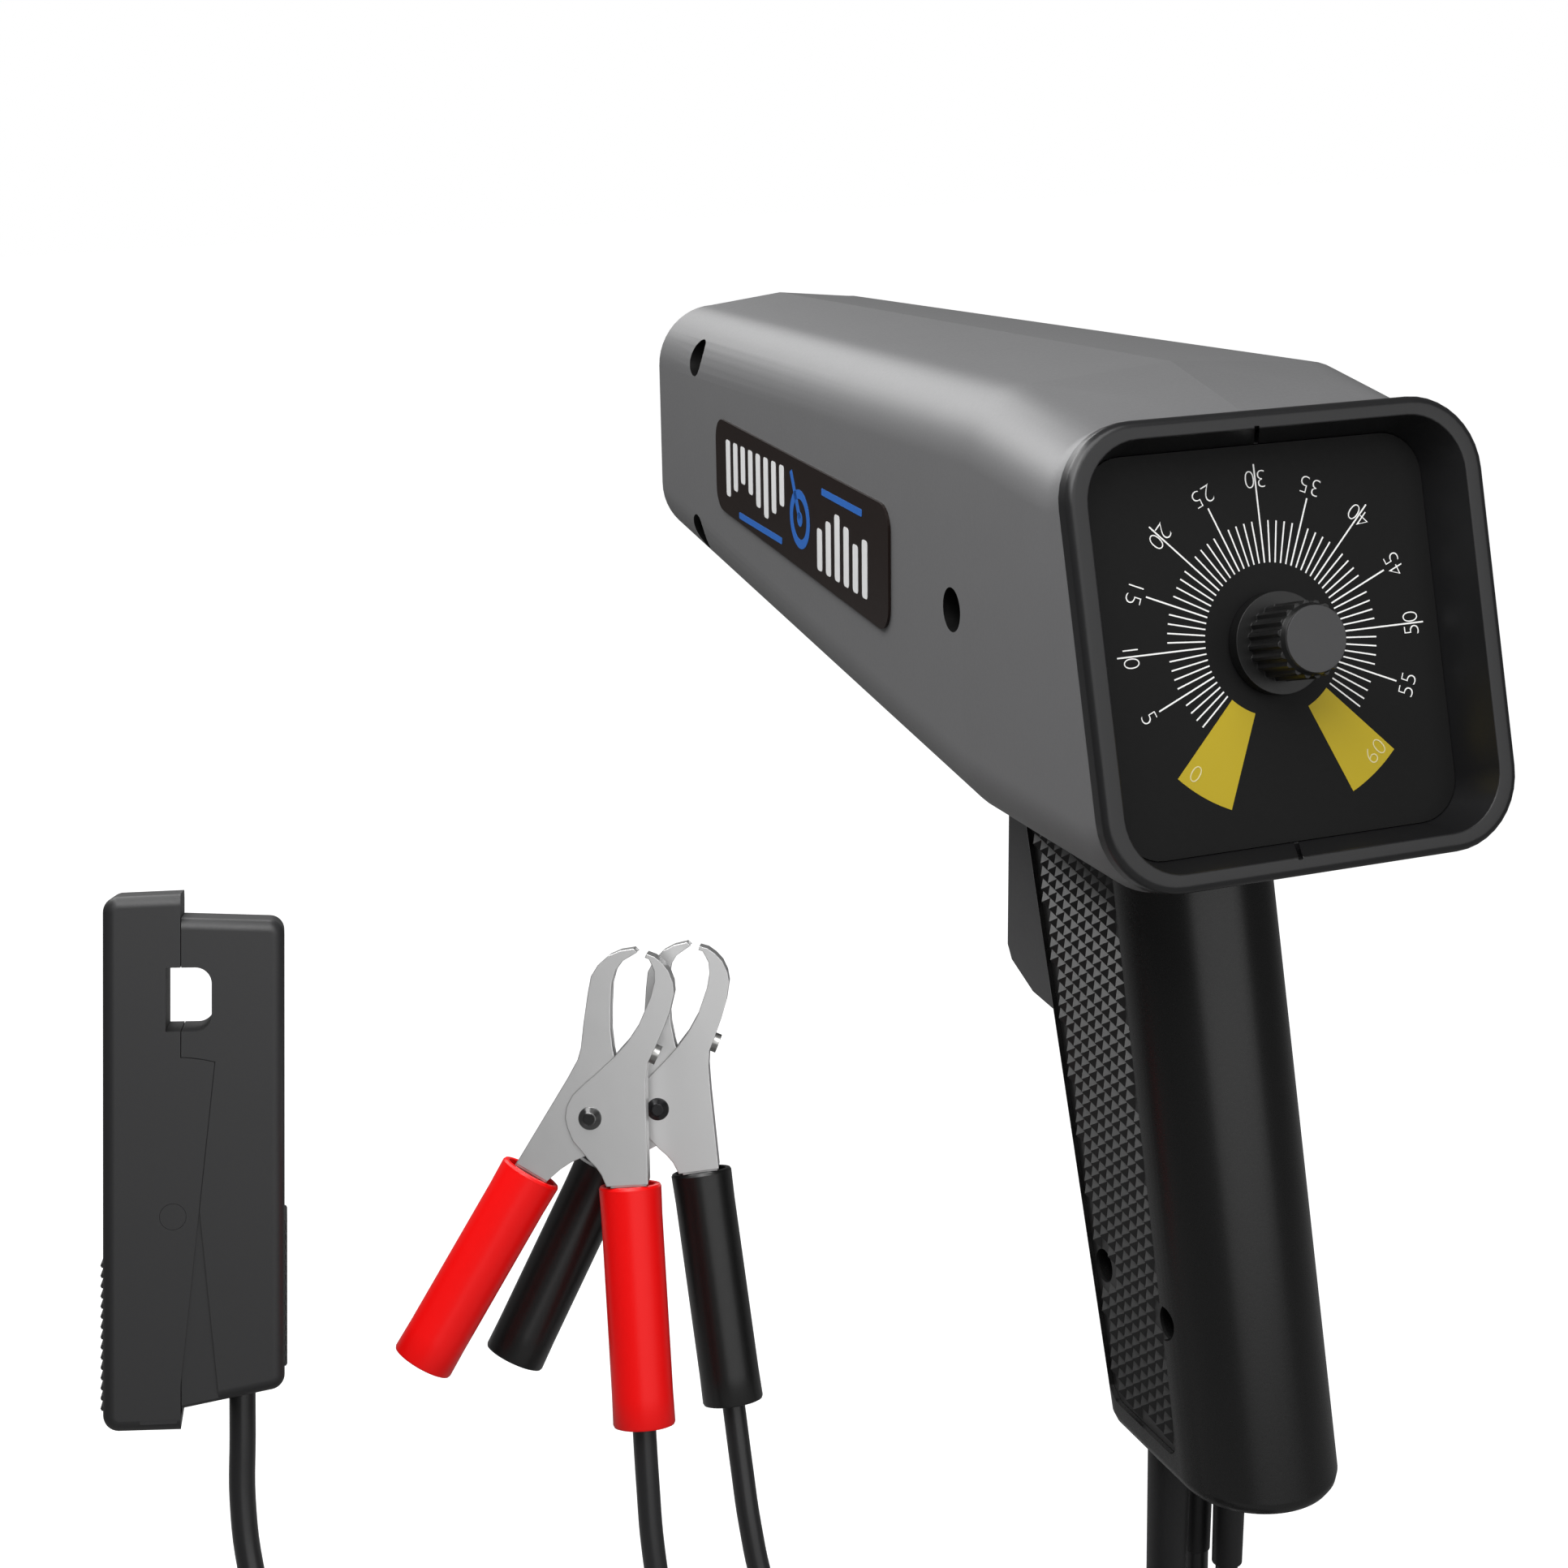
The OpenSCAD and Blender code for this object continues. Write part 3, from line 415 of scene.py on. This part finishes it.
def make_tie(name, lead):
    """A rounded nylon band round the coil, with its buckle on top."""
    cx, cy, cz = lead["coil"]
    r = lead["d"] * 1.5 + 0.1
    at = Matrix.Translation(mm(cx, cy - lead["r"], cz))
    across = at @ Matrix.Rotation(math.radians(90), 4, "Y")
    section = [(r, -2.2), (r + 0.6, -2.5), (r + 0.9, -2.1), (r + 0.9, 2.1), (r + 0.6, 2.5), (r, 2.2)]
    tie = piece(f"{name}_lead_tie", *spin(section, 36), "tie_black", place=across)
    combine(tie, tool(prism(rrect(3, 5, 0.8, 4), "z", r + 0.2, r + 1.1), at), "UNION")
    if name == "pickup":
        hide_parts("cord_ties")
    return tie


# --- barrel -------------------------------------------------------------------------------
def half_w(y):
    return 42.3 - 10.3 * (y - KINK_Y) / (FRONT_Y - KINK_Y)


def barrel_section(y, inset=0, shrink=0):
    """The rounded square at y, with a low ridge on the roof; inset for the inside, shrink for the front."""
    share = (y - KINK_Y) / (FRONT_Y - KINK_Y)
    half, top, low = half_w(y), 155.4 - 9.9 * share, 73.2 + 15.6 * share
    r = 14 - inset
    ring = arc(half - 14, top - 14, r, 0, 90, 12) + [(0, top + 2 - inset)]
    ring += arc(-half + 14, top - 14, r, 90, 180, 12) + arc(-half + 14, low + 14, r, 180, 270, 12)
    ring += [(0, low + inset)] + arc(half - 14, low + 14, r, 270, 360, 12)
    mid = (top + low) / 2
    pull = 1 - shrink / half
    return [(x * pull, y, mid + (z - mid) * pull) for x, z in ring]


def face_section(depth, inset=0):
    """The section parallel to the dial at a depth, with its points paired with barrel_section's."""
    ring = rrect(BEZEL_W - 0.4 - 2 * inset, BEZEL_H - 0.4 - 2 * inset, BEZEL_R - inset, 12)
    top, low = (0, BEZEL_H / 2 - 0.2 - inset), (0, -BEZEL_H / 2 + 0.2 + inset)
    ring = ring[:13] + [top] + ring[13:39] + [low] + ring[39:]
    return [tuple(FACE @ mm(x, y, -depth) * 1000) for x, y in ring]


def in_bore(centre):
    """A face of a screw's bore, to be painted near-black as shade: near its axis and at least a millimetre
    below the outer side.
    """
    near = min(math.hypot(centre.y - y, centre.z - z) for y, z in HOUSING_SCREWS)
    return near < HOUSING_BORE_R + 0.05 and 1 - half_w(centre.y) < centre.x < 0


def make_barrel():
    outer = [face_section(LIP), face_section(PLATE_DEPTH), barrel_section(KINK_Y)]
    front = ((2.4, 0), (1.2, 0.5), (0.3, 1.4), (0, 2.4))
    outer += [barrel_section(FRONT_Y - back, shrink=pull) for back, pull in front]
    inner = [face_section(LIP - 0.2, 0.5), face_section(PLATE_DEPTH + 0.05, 0.5)]
    inner += [face_section(PLATE_DEPTH + 0.1, WALL)]
    inner += [barrel_section(KINK_Y, WALL), barrel_section(FRONT_Y - 3, WALL)]
    for side, name in SIDES:
        shell = piece(f"barrel_shell_{name}", *loft(outer), "barrel_grey", replaces=[f"housing_{name}"])
        hollow = tool(loft(inner))
        for y, z in HOUSING_SCREWS:
            combine(hollow, tool(rod(y, z, BOSS_R, -60, 60)))
        combine(shell, hollow)
        other_half = prism(rrect(140, 440, 1, 2, 100), "z", 0, 300)
        combine(shell, tool(other_half, Matrix.Translation(mm(-70 * side, 0, 0))))
        for y, z in HOUSING_SCREWS:
            combine(shell, tool(rod(y, z, HOUSING_BORE_R, -70, -12)))
            combine(shell, tool(rod(y, z, SHANK_R, -13, 12)))
        forward = Matrix.Translation(mm(0, FRONT_Y - 8, LENS_Z)) @ Matrix.Rotation(math.radians(-90), 4, "X")
        combine(shell, tool(lathe([(LENS_BORE_R, 0), (LENS_BORE_R, 12)], 64), forward), sharp=24)
        # The bore faces get the near-black material: painted shade in the screw bores.
        paint(shell, "bore_painted_shade", in_bore)
        even_normals(shell)


def make_bezel():
    """Flat rim with rounded edges, tapering recess and the two index notches."""
    sections = []

    def section(w, h, r, depth, rise=0):
        sections.append([(x, y, depth) for x, y in rrect(w, h, r, 10, rise)])

    tongue_h, tongue_rise, step = 73.6, 0.7, 0.7
    for depth in (-13, -PLATE_DEPTH):
        section(76, tongue_h, 10, depth, tongue_rise)
    for depth in (-PLATE_DEPTH, -LIP):
        section(BEZEL_W - 2 * step, BEZEL_H - 2 * step, BEZEL_R - step, depth)
    section(BEZEL_W, BEZEL_H, BEZEL_R, -LIP)
    for a in range(0, 91, 15):
        s, pull = math.sin(math.radians(a)), RIM * (1 - math.cos(math.radians(a)))
        section(BEZEL_W - 2 * pull, BEZEL_H - 2 * pull, BEZEL_R - pull, RIM * (s - 1))
    for w, h, r, depth in ((76.8, 75.8, 11.2, 0), (76.2, 75.2, 11, -0.15), (76, 74.9, 10.8, -0.5),
                           (69.4, 71.3, 8, -8.9), (69.2, 71.2, 8, -10.5), (8, 8, 4, -10.5), (8, 8, 4, -13)):
        section(w, h, r, depth)
    rim = piece("bezel_rim", *loft(sections, loop=True), "rim_grey", place=FACE, replaces=["bezel"])
    half = 0.45
    for y0, y1, foot, head in ((34.6, 38, 1, -3.9), (-38, -34.6, -0.2, -5)):
        ends = [[(x - half, y0, d), (x + half, y0, d), (x + half, y1, d), (x - half, y1, d)]
                for x, d in ((foot, -8.9), (head, 0.3))]
        combine(rim, tool(loft(ends), FACE))
    even_normals(rim)


# --- dial ---------------------------------------------------------------------------------
DIAL = FACE @ Matrix.Translation(mm(0, 0.7, -PLATE_DEPTH))
MARK = 0.06
MARKS_FROM, NUMBERS_AT = 13.8, 28.9


def dial_angle(value):
    """Sixty marks over 270 degrees, from lower left round to lower right."""
    return math.radians(225 - 4.5 * value)


def make_dial():
    verts, faces = [], []
    for value in range(1, 60):
        a = dial_angle(value)
        reach = 31.4 if value % 10 == 0 else 26.4 if value % 5 == 0 else 21.3
        half = 0.14 if value % 5 == 0 else 0.13
        along, across = Vector((math.cos(a), math.sin(a))), Vector((-math.sin(a), math.cos(a))) * half
        foot, head = along * MARKS_FROM, along * reach
        ends = (foot - across, head - across, head + across, foot + across)
        add_plate(verts, faces, [tuple(end) for end in ends])
    piece("dial_ticks", verts, faces, "dial_white", place=DIAL, slot="dial_black")
    verts, faces = [], []
    for start, end in ((225, 247), (-45, -66)):
        add_plate(verts, faces, arc(0, 0, 31.5, start, end, 14) + arc(0, 0, 13.7, end, start, 14))
    piece("dial_end_bands", verts, faces, "dial_yellow", place=DIAL, slot="dial_black")
    for value in range(0, 61, 5):
        make_number(value)


def add_mesh(verts, faces, made):
    """Appends the points and faces that loft or prism returned to the lists of a larger mesh."""
    base = len(verts)
    verts += made[0]
    faces += [tuple(base + i for i in face) for face in made[1]]


def add_plate(verts, faces, outline):
    """A thin printed plate, standing MARK proud of the dial or label."""
    add_mesh(verts, faces, prism(outline, "z", 0, MARK))


def make_number(value):
    """A number of the scale, with its foot towards the middle of the dial."""
    text = bpy.data.curves.new(f"number_{value}", "FONT")
    text.body = str(value)
    text.size = 0.0047
    text.offset = -0.00012
    text.align_x = text.align_y = "CENTER"
    text.extrude = 0.00004
    shape = bpy.data.objects.new(f"number_{value}", text)
    bpy.context.scene.collection.objects.link(shape)
    bpy.context.view_layer.update()
    mesh = bpy.data.meshes.new_from_object(shape.evaluated_get(bpy.context.evaluated_depsgraph_get()))
    bpy.data.objects.remove(shape)
    shift = math.radians({0: 4.5, 60: -5.5}.get(value, 0))
    turn = Matrix.Rotation(dial_angle(value) + shift, 4, "Z")
    upright = Matrix.Rotation(math.radians(90), 4, "Z")
    mesh.transform(DIAL @ turn @ Matrix.Translation(mm(NUMBERS_AT, 0, 0.08)) @ upright)
    obj = bpy.data.objects.new(f"dial_number_{value}", mesh)
    bpy.context.scene.collection.objects.link(obj)
    mesh.materials.append(MAT["dial_pale" if value in (0, 60) else "dial_white"])
    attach(obj, "gun")


# --- labels -------------------------------------------------------------------------------
LABEL_AT = (113, 113.9)
LABEL_LIFT = 0.62


def side_place(side):
    """Local x runs forward along the barrel's tapering side, y up, z out of the side."""
    taper = math.atan((half_w(KINK_Y) - half_w(FRONT_Y)) / (FRONT_Y - KINK_Y))
    forward = Vector((-side * math.sin(taper), math.cos(taper), 0))
    out = Vector((side * math.cos(taper), math.sin(taper), 0))
    at = mm(side * half_w(LABEL_AT[0]), *LABEL_AT) + out * LABEL_LIFT / 1000
    return Matrix.Translation(at) @ Matrix((forward, Vector((0, 0, 1)), out)).transposed().to_4x4()


def make_label_print(side, name):
    """Generic print: graded bars on both sides of a ring and needle, with blue strips."""
    place = side_place(side)
    white, white_f, blue, blue_f = [], [], [], []
    pitch = 5.4
    for k, tall in enumerate((13, 11, 8.5, 10, 12, 13.5, 11.5, 9)):
        add_plate(white, white_f, rrect_at(46.5 - pitch * k, 8.8 - tall / 2 + 0.12 * k, 3, tall))
    for k, tall in enumerate((9, 11.5, 14, 12.5, 10, 12)):
        add_plate(white, white_f, rrect_at(-15.5 - pitch * k, -8.6 + tall / 2, 3, tall))
    for x, y, w in ((24, -7.2, 30), (-29, 8.6, 24)):
        add_plate(blue, blue_f, rrect_at(x, y, w, 1.5))
    add_ring(blue, blue_f, -3, 0, 4.4, 6.4)
    add_ring(blue, blue_f, -3, 0, 0.01, 1.6)
    add_plate(blue, blue_f, [(-3.8, 0.5), (-2.2, -0.5), (3.2, 9.2), (1.9, 9.9)])
    piece(f"label_bars_{name}", white, white_f, "label_white", place=place, slot="label_film")
    piece(f"label_motif_{name}", blue, blue_f, "label_blue", place=place, slot="label_film")


def rrect_at(x, y, w, h):
    return [(px + x, py + y) for px, py in rrect(w, h, min(w, h) * 0.25, 3)]


def add_ring(verts, faces, x, y, r0, r1):
    turns = [2 * math.pi * k / 32 for k in range(32)]
    rings = [[(x + r * math.cos(a), y + r * math.sin(a), h) for a in turns]
             for r, h in ((r0, 0), (r1, 0), (r1, MARK), (r0, MARK))]
    add_mesh(verts, faces, loft(rings, loop=True))


# --- handle -------------------------------------------------------------------------------
GRIP_HW = 16
PANEL_X, PANEL_SINK = 14.85, 0.6


def rear_y(z):
    """Where the round back of the handle starts at a height."""
    return -9.2 + 0.283 * z


def fore_y(z):
    """The front of the handle at a height."""
    return 26.3 + 0.375 * z


def grip_section(z, grow):
    half, rear, fore, corner = GRIP_HW + grow, rear_y(z), fore_y(z) + grow, 4.5
    ring = arc(0, rear, half, 180, 360, 41) + arc(half - corner, fore - corner, corner, 0, 90, 8)
    ring += arc(-half + corner, fore - corner, corner, 90, 180, 8)
    return [(x, y, z) for x, y in ring]


def panel_outline(grow=0):
    corners = [(fore_y(-45) - 3.5 + grow, -45 - grow), (fore_y(69) - 3.5 + grow, 69 + grow),
               (rear_y(69) + 1 - grow, 69 + grow), (rear_y(-47) + 1 - grow, -47 - grow),
               (fore_y(-47) - 6, -47 - grow)]
    return fillet(corners, (1.5, 0, 8, 2.5, 1.5))


def make_handle():
    levels = ((-53, -3.2), (-52.4, -1.5), (-51.3, -0.5), (-49.8, 0), (77, 0), (80, 0.5))
    rings = [grip_section(z, grow) for z, grow in levels]
    gland_mouth = [(-12.6, -54), (3.1, -54), (3.1, -46), (-12.6, -46)]
    for side, name in SIDES:
        shell = piece(f"handle_shell_{name}", *loft(rings), "grip_black", replaces=[f"handle_{name}"])
        other_half = prism(rrect(140, 400, 1, 2), "z", -90, 120)
        combine(shell, tool(other_half, Matrix.Translation(mm(-70 * side, 0, 0))))
        combine(shell, tool(prism(panel_outline(0.1), "x", side * (PANEL_X - PANEL_SINK), side * 20)))
        if side < 0:
            for y, z in HANDLE_SCREWS:
                combine(shell, tool(rod(y, z, HANDLE_BORE_R, -20, -8)))
        combine(shell, tool(prism(gland_mouth, "x", -13.3, 8.4)), sharp=35)
        even_normals(shell)


def inside(point, outline):
    """Whether a point lies in a closed outline, by the edges that a level line from it crosses."""
    y, z = point
    hit = False
    for (y0, z0), (y1, z1) in zip(outline, outline[1:] + outline[:1]):
        if (z0 > z) != (z1 > z) and y < y0 + (z - z0) * (y1 - y0) / (z1 - z0):
            hit = not hit
    return hit


def make_knurl(side, node):
    """A backing plate with rows of four-sided pyramids in a slanting grid."""
    across, upward = Vector((3.1, 0.45)), Vector((0.25, 2.65))
    outline = panel_outline()
    holes = HANDLE_SCREWS if side < 0 else []
    floor, high = side * (PANEL_X + 0.05), side * (PANEL_X + 1.25)
    plate = piece(node.replace("panel", "knurl"), *prism(outline, "x", side * (PANEL_X - PANEL_SINK), floor),
                  "knurl_black", replaces=[node])
    for y, z in holes:
        combine(plate, tool(rod(y, z, HANDLE_BORE_R, -20, -8)))
    verts, faces = [], []
    low = side * (PANEL_X + 0.04)
    square = ((-0.5, -0.5), (0.5, -0.5), (0.5, 0.5), (-0.5, 0.5))
    for i in range(-40, 41):
        for j in range(-24, 34):
            c = across * i + upward * j
            corners = [c + across * a + upward * b for a, b in square]
            if not all(inside(p, outline) for p in corners):
                continue
            if any((c - Vector(h)).length < HANDLE_BORE_R + 1.2 for h in holes):
                continue
            k = len(verts)
            verts += [(low, p.x, p.y) for p in corners] + [(high, c.x, c.y)]
            faces += [(k, k + 1, k + 4), (k + 1, k + 2, k + 4), (k + 2, k + 3, k + 4), (k + 3, k, k + 4)]
            faces.append((k + 3, k + 2, k + 1, k))
    piece(node.replace("panel", "pyramids"), verts, faces, "knurl_black", sharp=10, slot="knurl_black")


# --- pickup -------------------------------------------------------------------------------
HALF_T, CHEEK, CHEEK_TOP, EDGE_R = 12, 0.5, 29.6, 2.3


def rounded(name, outline, outer, body, replaces):
    """An x-z outline pushed through the pickup's thickness, with the edges that outer picks rounded."""
    obj = piece(name, *prism(outline, "y", -HALF_T, HALF_T), "pickup_black", body=body, replaces=replaces)
    bm = bmesh.new()
    bm.from_mesh(obj.data)
    edges = []
    for e in bm.edges:
        (x0, y0, z0), (x1, y1, z1) = (v.co * 1000 for v in e.verts)
        if abs(y0 - y1) < 0.001 and outer(min(x0, x1), max(x0, x1), min(z0, z1), max(z0, z1)):
            edges.append(e)
    bmesh.ops.bevel(bm, geom=edges, offset=EDGE_R / 1000, segments=6, profile=0.5, affect="EDGES")
    bm.to_mesh(obj.data)
    bm.free()
    shade(obj, 24)
    return obj


def lever_edge(x0, x1, z0, z1):
    """The lever's outer edges, without those of its half of the window."""
    return x0 < 1.2 and not (x0 > -2 and 30 < z0 and z1 < 50)


def body_edge(x0, x1, z0, z1):
    """The body's outer edges, without those of the window and the hinge side."""
    return x1 > 1.7 and not (x1 < 8 and z0 > -12 and z1 < 50)


def add_ribs(obj, x, side, top):
    """Fifteen finger ribs across one side of the pickup."""
    pitch = 1.9
    for k in range(15):
        z = top - pitch * k
        foot, slope, crest = x - side * 0.6, x + side * 0.25, x + side * 0.5
        outline = [(foot, z + 0.55), (slope, z + 0.42), (crest, z), (slope, z - 0.42), (foot, z - 0.55)]
        combine(obj, tool(prism(outline, "y", -9.5, 9.5)), "UNION", 24)


def make_lever():
    outline = [(1.4, -40), (1.4, 34.4), (-1.3, 34.4), (-1.3, 46.3), (1.4, 46.3), (1.4, 60)]
    outline += arc(-9.8, 56.6, 3, 100, 180, 8) + arc(-9.8, -36.9, 3, 180, 268, 8)
    lever = rounded("pickup_lever_shell", outline, lever_edge, "pickup_jaw", ["pickup_lever"])
    cheek = [(-6, -38.5), (0.7, -38.5), (0.9, -36.2)] + arc(0, 0, CHEEK_TOP, 75.1, 101.7, 6)
    for s in (-1, 1):
        combine(lever, tool(prism(cheek, "y", s * (HALF_T - CHEEK), s * (HALF_T - 0.01))), "UNION", 24)
    barrel_room = [(2, -8), (2, 8), (0, 8)] + arc(0, 0, 6.3, 90, 270, 16) + [(0, -8)]
    combine(lever, tool(prism(barrel_room, "y", -5.1, 5.1)), sharp=24)
    spring_room = [(-9.8, -37.8), (-9.8, -8.5), (2, -8.5), (2, -37.8)]
    combine(lever, tool(prism(spring_room, "y", -HALF_T + CHEEK, HALF_T - CHEEK)), sharp=24)
    combine(lever, tool(prism(arc(0, 0, 2.46, 0, 350, 35), "y", -20, 20)), sharp=24)
    add_ribs(lever, -12.8, -1, -9.1)
    return lever


def make_body():
    outline = [(1.55, 55.6), (1.55, 46.3), (4.1, 46.3)] + arc(4.1, 43.3, 3, 80, 0, 8)
    outline += arc(4.1, 37.4, 3, 0, -80, 8) + [(4.1, 34.4), (1.55, 34.4), (1.55, 0.5), (3.6, -9.4)]
    outline += [(1.55, -9.4), (1.55, -36.1)] + arc(17.7, -30.4, 2.8, 280, 360, 8)
    outline += arc(17.7, 52.2, 2.8, 0, 88, 8)
    body = rounded("pickup_body_shell", outline, body_edge, "gun", ["pickup_body"])
    hinge = arc(0, 0, 6, 60, 300, 20) + [(6, -5.2), (6, 5.2)]
    combine(body, tool(prism(hinge, "y", -5, 5)), "UNION", 24)
    swing = [(-1, -45), (9.4, -45), (9, -40), (4.9, 1)] + arc(0, 0, CHEEK_TOP + 0.15, 74.8, 92, 4)
    for s in (-1, 1):
        combine(body, tool(prism(swing, "y", s * (HALF_T - CHEEK - 0.1), s * 14)), sharp=24)
    combine(body, tool(prism(arc(0, 0, 2.42, 0, 350, 35), "y", -20, 20)), sharp=24)
    add_ribs(body, 20.5, 1, -1.9)
    return body


def make_pickup():
    shells = [make_body(), make_lever()]
    for shell in shells:
        even_normals(shell)
        shell.data.transform(PICKUP)
    return shells


# --- clips --------------------------------------------------------------------------------
def make_sleeve(node, place, lean, top, length, body, bore):
    """Dipped vinyl sleeve with rolled lips, closed in to the lead at the bottom of a fixed one."""
    r = 5.95
    profile = [(r - 1.15, -1.5), (r - 1.1, -0.2), (r - 0.7, 0), (r - 0.25, -0.15), (r, -0.6), (r - 0.12, -6)]
    profile += [(r - 0.1, -length + 6), (r, -length + 0.6), (r - 0.2, -length + 0.15), (r - 0.6, -length)]
    profile += [(bore, -length), (bore, -length + 4), (r - 1.15, -length + 6)]
    tilt = Matrix.Rotation(math.radians(lean), 4, "Y")
    local = place @ Matrix.Translation(mm(*top)) @ tilt @ Matrix.Translation(mm(0, 0, -0.25))
    material = "sleeve_" + node.split("_")[0]
    return piece(node + "_skin", *spin(profile, 56), material, body=body, place=local, replaces=[node])


def make_sleeves():
    made = {}
    for colour, place in (("red", RED), ("black", BLACK)):
        fixed, moving, jaw = f"{colour}_sleeve_fixed", f"{colour}_sleeve_moving", f"{colour}_clip_jaw"
        made[colour] = [make_sleeve(fixed, place, -3.4, (7.25, 0, -12.8), 46, "gun", 2.2),
                        make_sleeve(moving, place, 30, (-11.2, 0, -10.4), 42, jaw, 4.75)]
    return made


# --- stage --------------------------------------------------------------------------------
def seen_or_lit(tree, seen, lit, out):
    """What the camera sees directly, and what reaches the object as light."""
    path = tree.nodes.new("ShaderNodeLightPath")
    mix = tree.nodes.new("ShaderNodeMixShader")
    tree.links.new(path.outputs["Is Camera Ray"], mix.inputs[0])
    tree.links.new(lit, mix.inputs[1])
    tree.links.new(seen, mix.inputs[2])
    tree.links.new(mix.outputs[0], out.inputs["Surface"])


def make_floor():
    size = 3000
    corners = [(-size, -size, FLOOR), (size, -size, FLOOR), (size, size, FLOOR), (-size, size, FLOOR)]
    floor = piece("floor", corners, [(0, 1, 2, 3)], "stage_white", body=None)
    tree = MAT["stage_white"].node_tree
    bsdf, out = tree.nodes["Principled BSDF"], tree.nodes["Material Output"]
    glow = tree.nodes.new("ShaderNodeEmission")
    glow.inputs["Strength"].default_value = 0.96
    both = tree.nodes.new("ShaderNodeAddShader")
    tree.links.new(bsdf.outputs[0], both.inputs[0])
    tree.links.new(glow.outputs[0], both.inputs[1])
    seen_or_lit(tree, both.outputs[0], bsdf.outputs[0], out)


def make_world():
    world = bpy.data.worlds.new("studio")
    bpy.context.scene.world = world
    world.use_nodes = True
    tree = world.node_tree
    dim, out = tree.nodes["Background"], tree.nodes["World Output"]
    dim.inputs["Color"].default_value = (1, 1, 1, 1)
    dim.inputs["Strength"].default_value = 0.13
    white = tree.nodes.new("ShaderNodeBackground")
    white.inputs["Color"].default_value = (1, 1, 1, 1)
    seen_or_lit(tree, white.outputs[0], dim.outputs[0], out)


def softbox(name, at, target, size, radiance):
    """A rectangular light; size is across (level) and along, radiance as a share of white."""
    data = bpy.data.lights.new(name, "AREA")
    data.shape = "RECTANGLE"
    data.size, data.size_y = size[0] / 1000, size[1] / 1000
    data.energy = radiance * math.pi * data.size * data.size_y
    lamp = bpy.data.objects.new(name, data)
    bpy.context.scene.collection.objects.link(lamp)
    lamp.location = mm(*at)
    lamp.rotation_euler = (mm(*target) - mm(*at)).to_track_quat("-Z", "Y").to_euler()
    lamp.visible_camera = False


def make_stage():
    make_floor()
    make_world()
    softbox("key", (-210, 60, 390), (-20, 60, 120), (800, 200), 4.1)
    softbox("ahead", (-200, 900, 520), (0, 100, 120), (800, 400), 2.6)
    softbox("behind", (156, -1190, 420), (0, 0, 60), (1750, 880), 1.05)
    softbox("over_camera", (-90, -480, 890), (0, 0, 100), (700, 700), 3.0)
    bpy.context.scene.view_settings.view_transform = "Standard"


# --- build --------------------------------------------------------------------------------
make_camera()
finish_cad_nodes()
pickup_shells = make_pickup()
sleeves = make_sleeves()
# Each lead becomes one swept curve with a tie round its coil, in place of its CAD lead parts.
for lead_name, lead in LEADS.items():
    make_lead(lead_name, lead)
make_barrel()
make_bezel()
make_dial()
for side, name in SIDES:
    make_label_print(side, name)
make_handle()
make_knurl(-1, "grip_panel_left")
make_knurl(1, "grip_panel_right")
make_stage()
